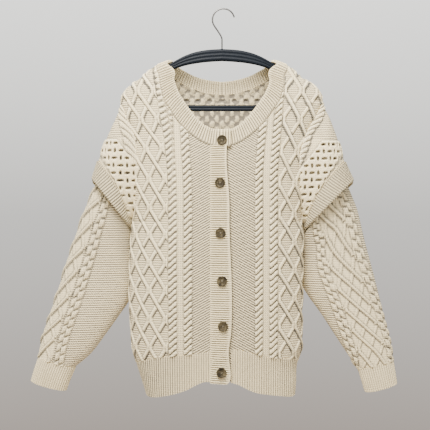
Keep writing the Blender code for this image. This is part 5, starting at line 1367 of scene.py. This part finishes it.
class CARDIGAN_OT_hanger(Operator):
    """Mould the hanger's arch and bar and bend its wire hook"""

    bl_idname = "cardigan.hanger"
    bl_label = "Make hanger"

    def execute(self, context):
        x = np.linspace(-183.8, 183.8, 161)
        x = np.concatenate([np.linspace(-196, -184.6, 5), x, np.linspace(184.6, 196, 5)])
        top, height = smooth(ARCH_ROWS[:, 0], ARCH_ROWS[:, 1:], np.abs(x)).T
        tip = np.abs(x) > 184.2
        for column, values in ((1, top), (2, height)):
            values[tip] = np.interp(np.abs(x[tip]), ARCH_TIP[:, 0], ARCH_TIP[:, column])
        self.moulded("hanger_arch", x, top, height, 5.0 - np.minimum(np.abs(x) / 130.0, 1.0), 3)
        x = np.linspace(-BAR_END, BAR_END, 65)
        top = BAR_DROP + BAR_SAG * (1 - (x / BAR_END) ** 2)
        self.moulded("hanger_bar", x, top, 0 * x + BAR_HEIGHT, 0 * x + BAR_HALF_DEPTH, 2)
        self.bent_wire("hanger_hook")
        return {"FINISHED"}

    def moulded(self, node, x, top, height, depth, ridges):
        """A bar whose two faces carry long rounded ridges."""
        share = np.linspace(0, 1, 25)
        ridge = 0.5 * (1 - np.abs(np.cos(math.pi * (share - 0.06) / 0.88 * ridges)) ** 1.5)
        rounded = 0.5 * np.clip(1 - np.sin(math.pi * share) * 5, 0, 1)
        face = np.clip(1 - rounded - 0.2 + 0.4 * ridge, 0.4, 1)
        outline = np.concatenate([np.stack([-face, share], 1), np.stack([face, share], 1)[::-1]])
        rings = np.stack([x[:, None] + 0 * outline[:, 0], depth[:, None] * outline[:, 0],
                          -(top[:, None] + height[:, None] * outline[:, 1])], -1)
        self.swept(node, rings, "Black moulded plastic", "hanger", 35)

    def bent_wire(self, node):
        """The hook: a round bend over the crown, a swan neck and a straight foot in the arch."""
        turns = np.linspace(*np.radians(CROWN_TURN), 64)
        bend = np.stack([CROWN[0] + CROWN_RADIUS * np.cos(turns), CROWN[1] - CROWN_RADIUS * np.sin(turns)], 1)
        t = np.linspace(0, 1, 25)[1:, None]
        start, foot = bend[-1], np.array([0.0, HOOK_FOOT])
        heading, down = np.array([15.9, 25.5]), np.array([0.0, 22.0])
        neck = ((2 * t ** 3 - 3 * t ** 2 + 1) * start + (t ** 3 - 2 * t ** 2 + t) * heading
                + (-2 * t ** 3 + 3 * t ** 2) * foot + (t ** 3 - t ** 2) * down)
        path = np.concatenate([bend, neck, [(0.0, drop) for drop in HOOK_STRAIGHT]])
        path = np.stack([path[:, 0], 0 * path[:, 0], -path[:, 1]], 1)
        along = np.gradient(path, axis=0)
        along /= np.linalg.norm(along, axis=1, keepdims=True)
        beside = np.array([0.0, 1.0, 0.0])
        up = np.cross(along, beside)[:, None]
        turns = np.linspace(0, 2 * math.pi, 17)[None, :-1, None]
        rings = path[:, None] + WIRE_RADIUS * (np.cos(turns) * beside + np.sin(turns) * up)
        self.swept(node, rings, "Drawn wire", "wire", 60)

    @staticmethod
    def swept(node, rings, material, slot, sharp):
        """A solid through closed rings of points, with flat ends."""
        ids = np.arange(rings[..., 0].size).reshape(rings.shape[:2])
        faces = [ids[0].tolist(), ids[-1][::-1].tolist()] + between(ids, flip=True)
        add_piece("fine_" + node, [node], rings.reshape(-1, 3), faces, (material,), sharp)


class CARDIGAN_OT_stage(Operator):
    """Set the floor, the soft lights and the camera"""

    bl_idname = "cardigan.stage"
    bl_label = "Set stage"

    def execute(self, context):
        scene = context.scene
        mesh = bpy.data.meshes.new("floor")
        turns = np.linspace(0, 2 * math.pi, FLOOR_SIDES + 1)[:-1]
        rim = [(FLOOR_RADIUS * math.cos(t), FLOOR_RADIUS * math.sin(t), FLOOR_LEVEL) for t in turns]
        mesh.from_pydata(rim, [], [tuple(range(FLOOR_SIDES))])
        mesh.materials.append(bpy.data.materials["Pale floor"])
        self.add("floor", mesh)
        surround(look())
        for name, place, size, power in LAMPS:
            data = bpy.data.lights.new(name, "AREA")
            data.size, data.energy, data.color = size, power, LAMP_COLOUR
            lamp = self.add(name, data, place)
            x, y, z = np.array(LAMP_AIM) - np.array(place)
            lamp.rotation_euler = (math.acos(-z / math.hypot(x, y, z)), 0, math.atan2(y, x) - math.pi / 2)
        data = bpy.data.cameras.new("Camera")
        data.lens, data.sensor_width, data.shift_x, data.clip_end = LENS, SENSOR, SHIFT, 30.0
        scene.camera = self.add("Camera", data, EYE)
        scene.camera.rotation_euler = (math.pi / 2, 0, 0)
        return {"FINISHED"}

    @staticmethod
    def add(name, data, place=(0.0, 0.0, 0.0)):
        thing = bpy.data.objects.new(name, data)
        bpy.context.scene.collection.objects.link(thing)
        thing.location = place
        return thing


class CARDIGAN_PT_panel(Panel):
    """Lists the settings and the steps"""

    bl_idname = "CARDIGAN_PT_panel"
    bl_label = "Cardigan"
    bl_space_type = "VIEW_3D"
    bl_region_type = "UI"
    bl_category = "Cardigan"

    def draw(self, context):
        for key in CardiganLook.__annotations__:
            self.layout.prop(context.scene.cardigan_look, key)
        for step in STEPS:
            self.layout.operator(step.bl_idname)


STEPS = (
    CARDIGAN_OT_materials, CARDIGAN_OT_fronts, CARDIGAN_OT_back, CARDIGAN_OT_hems, CARDIGAN_OT_neck,
    CARDIGAN_OT_bands, CARDIGAN_OT_caps, CARDIGAN_OT_sleeves, CARDIGAN_OT_buttons, CARDIGAN_OT_hanger,
    CARDIGAN_OT_stage,
)


def register():
    for item in (CardiganLook, *STEPS, CARDIGAN_PT_panel):
        bpy.utils.register_class(item)
    bpy.types.Scene.cardigan_look = PointerProperty(type=CardiganLook)


def unregister():
    del bpy.types.Scene.cardigan_look
    for item in (CARDIGAN_PT_panel, *STEPS[::-1], CardiganLook):
        bpy.utils.unregister_class(item)


def main():
    register()
    for step in STEPS:
        group, name = step.bl_idname.split(".")
        getattr(getattr(bpy.ops, group), name)()


if __name__ == "__main__":
    main()
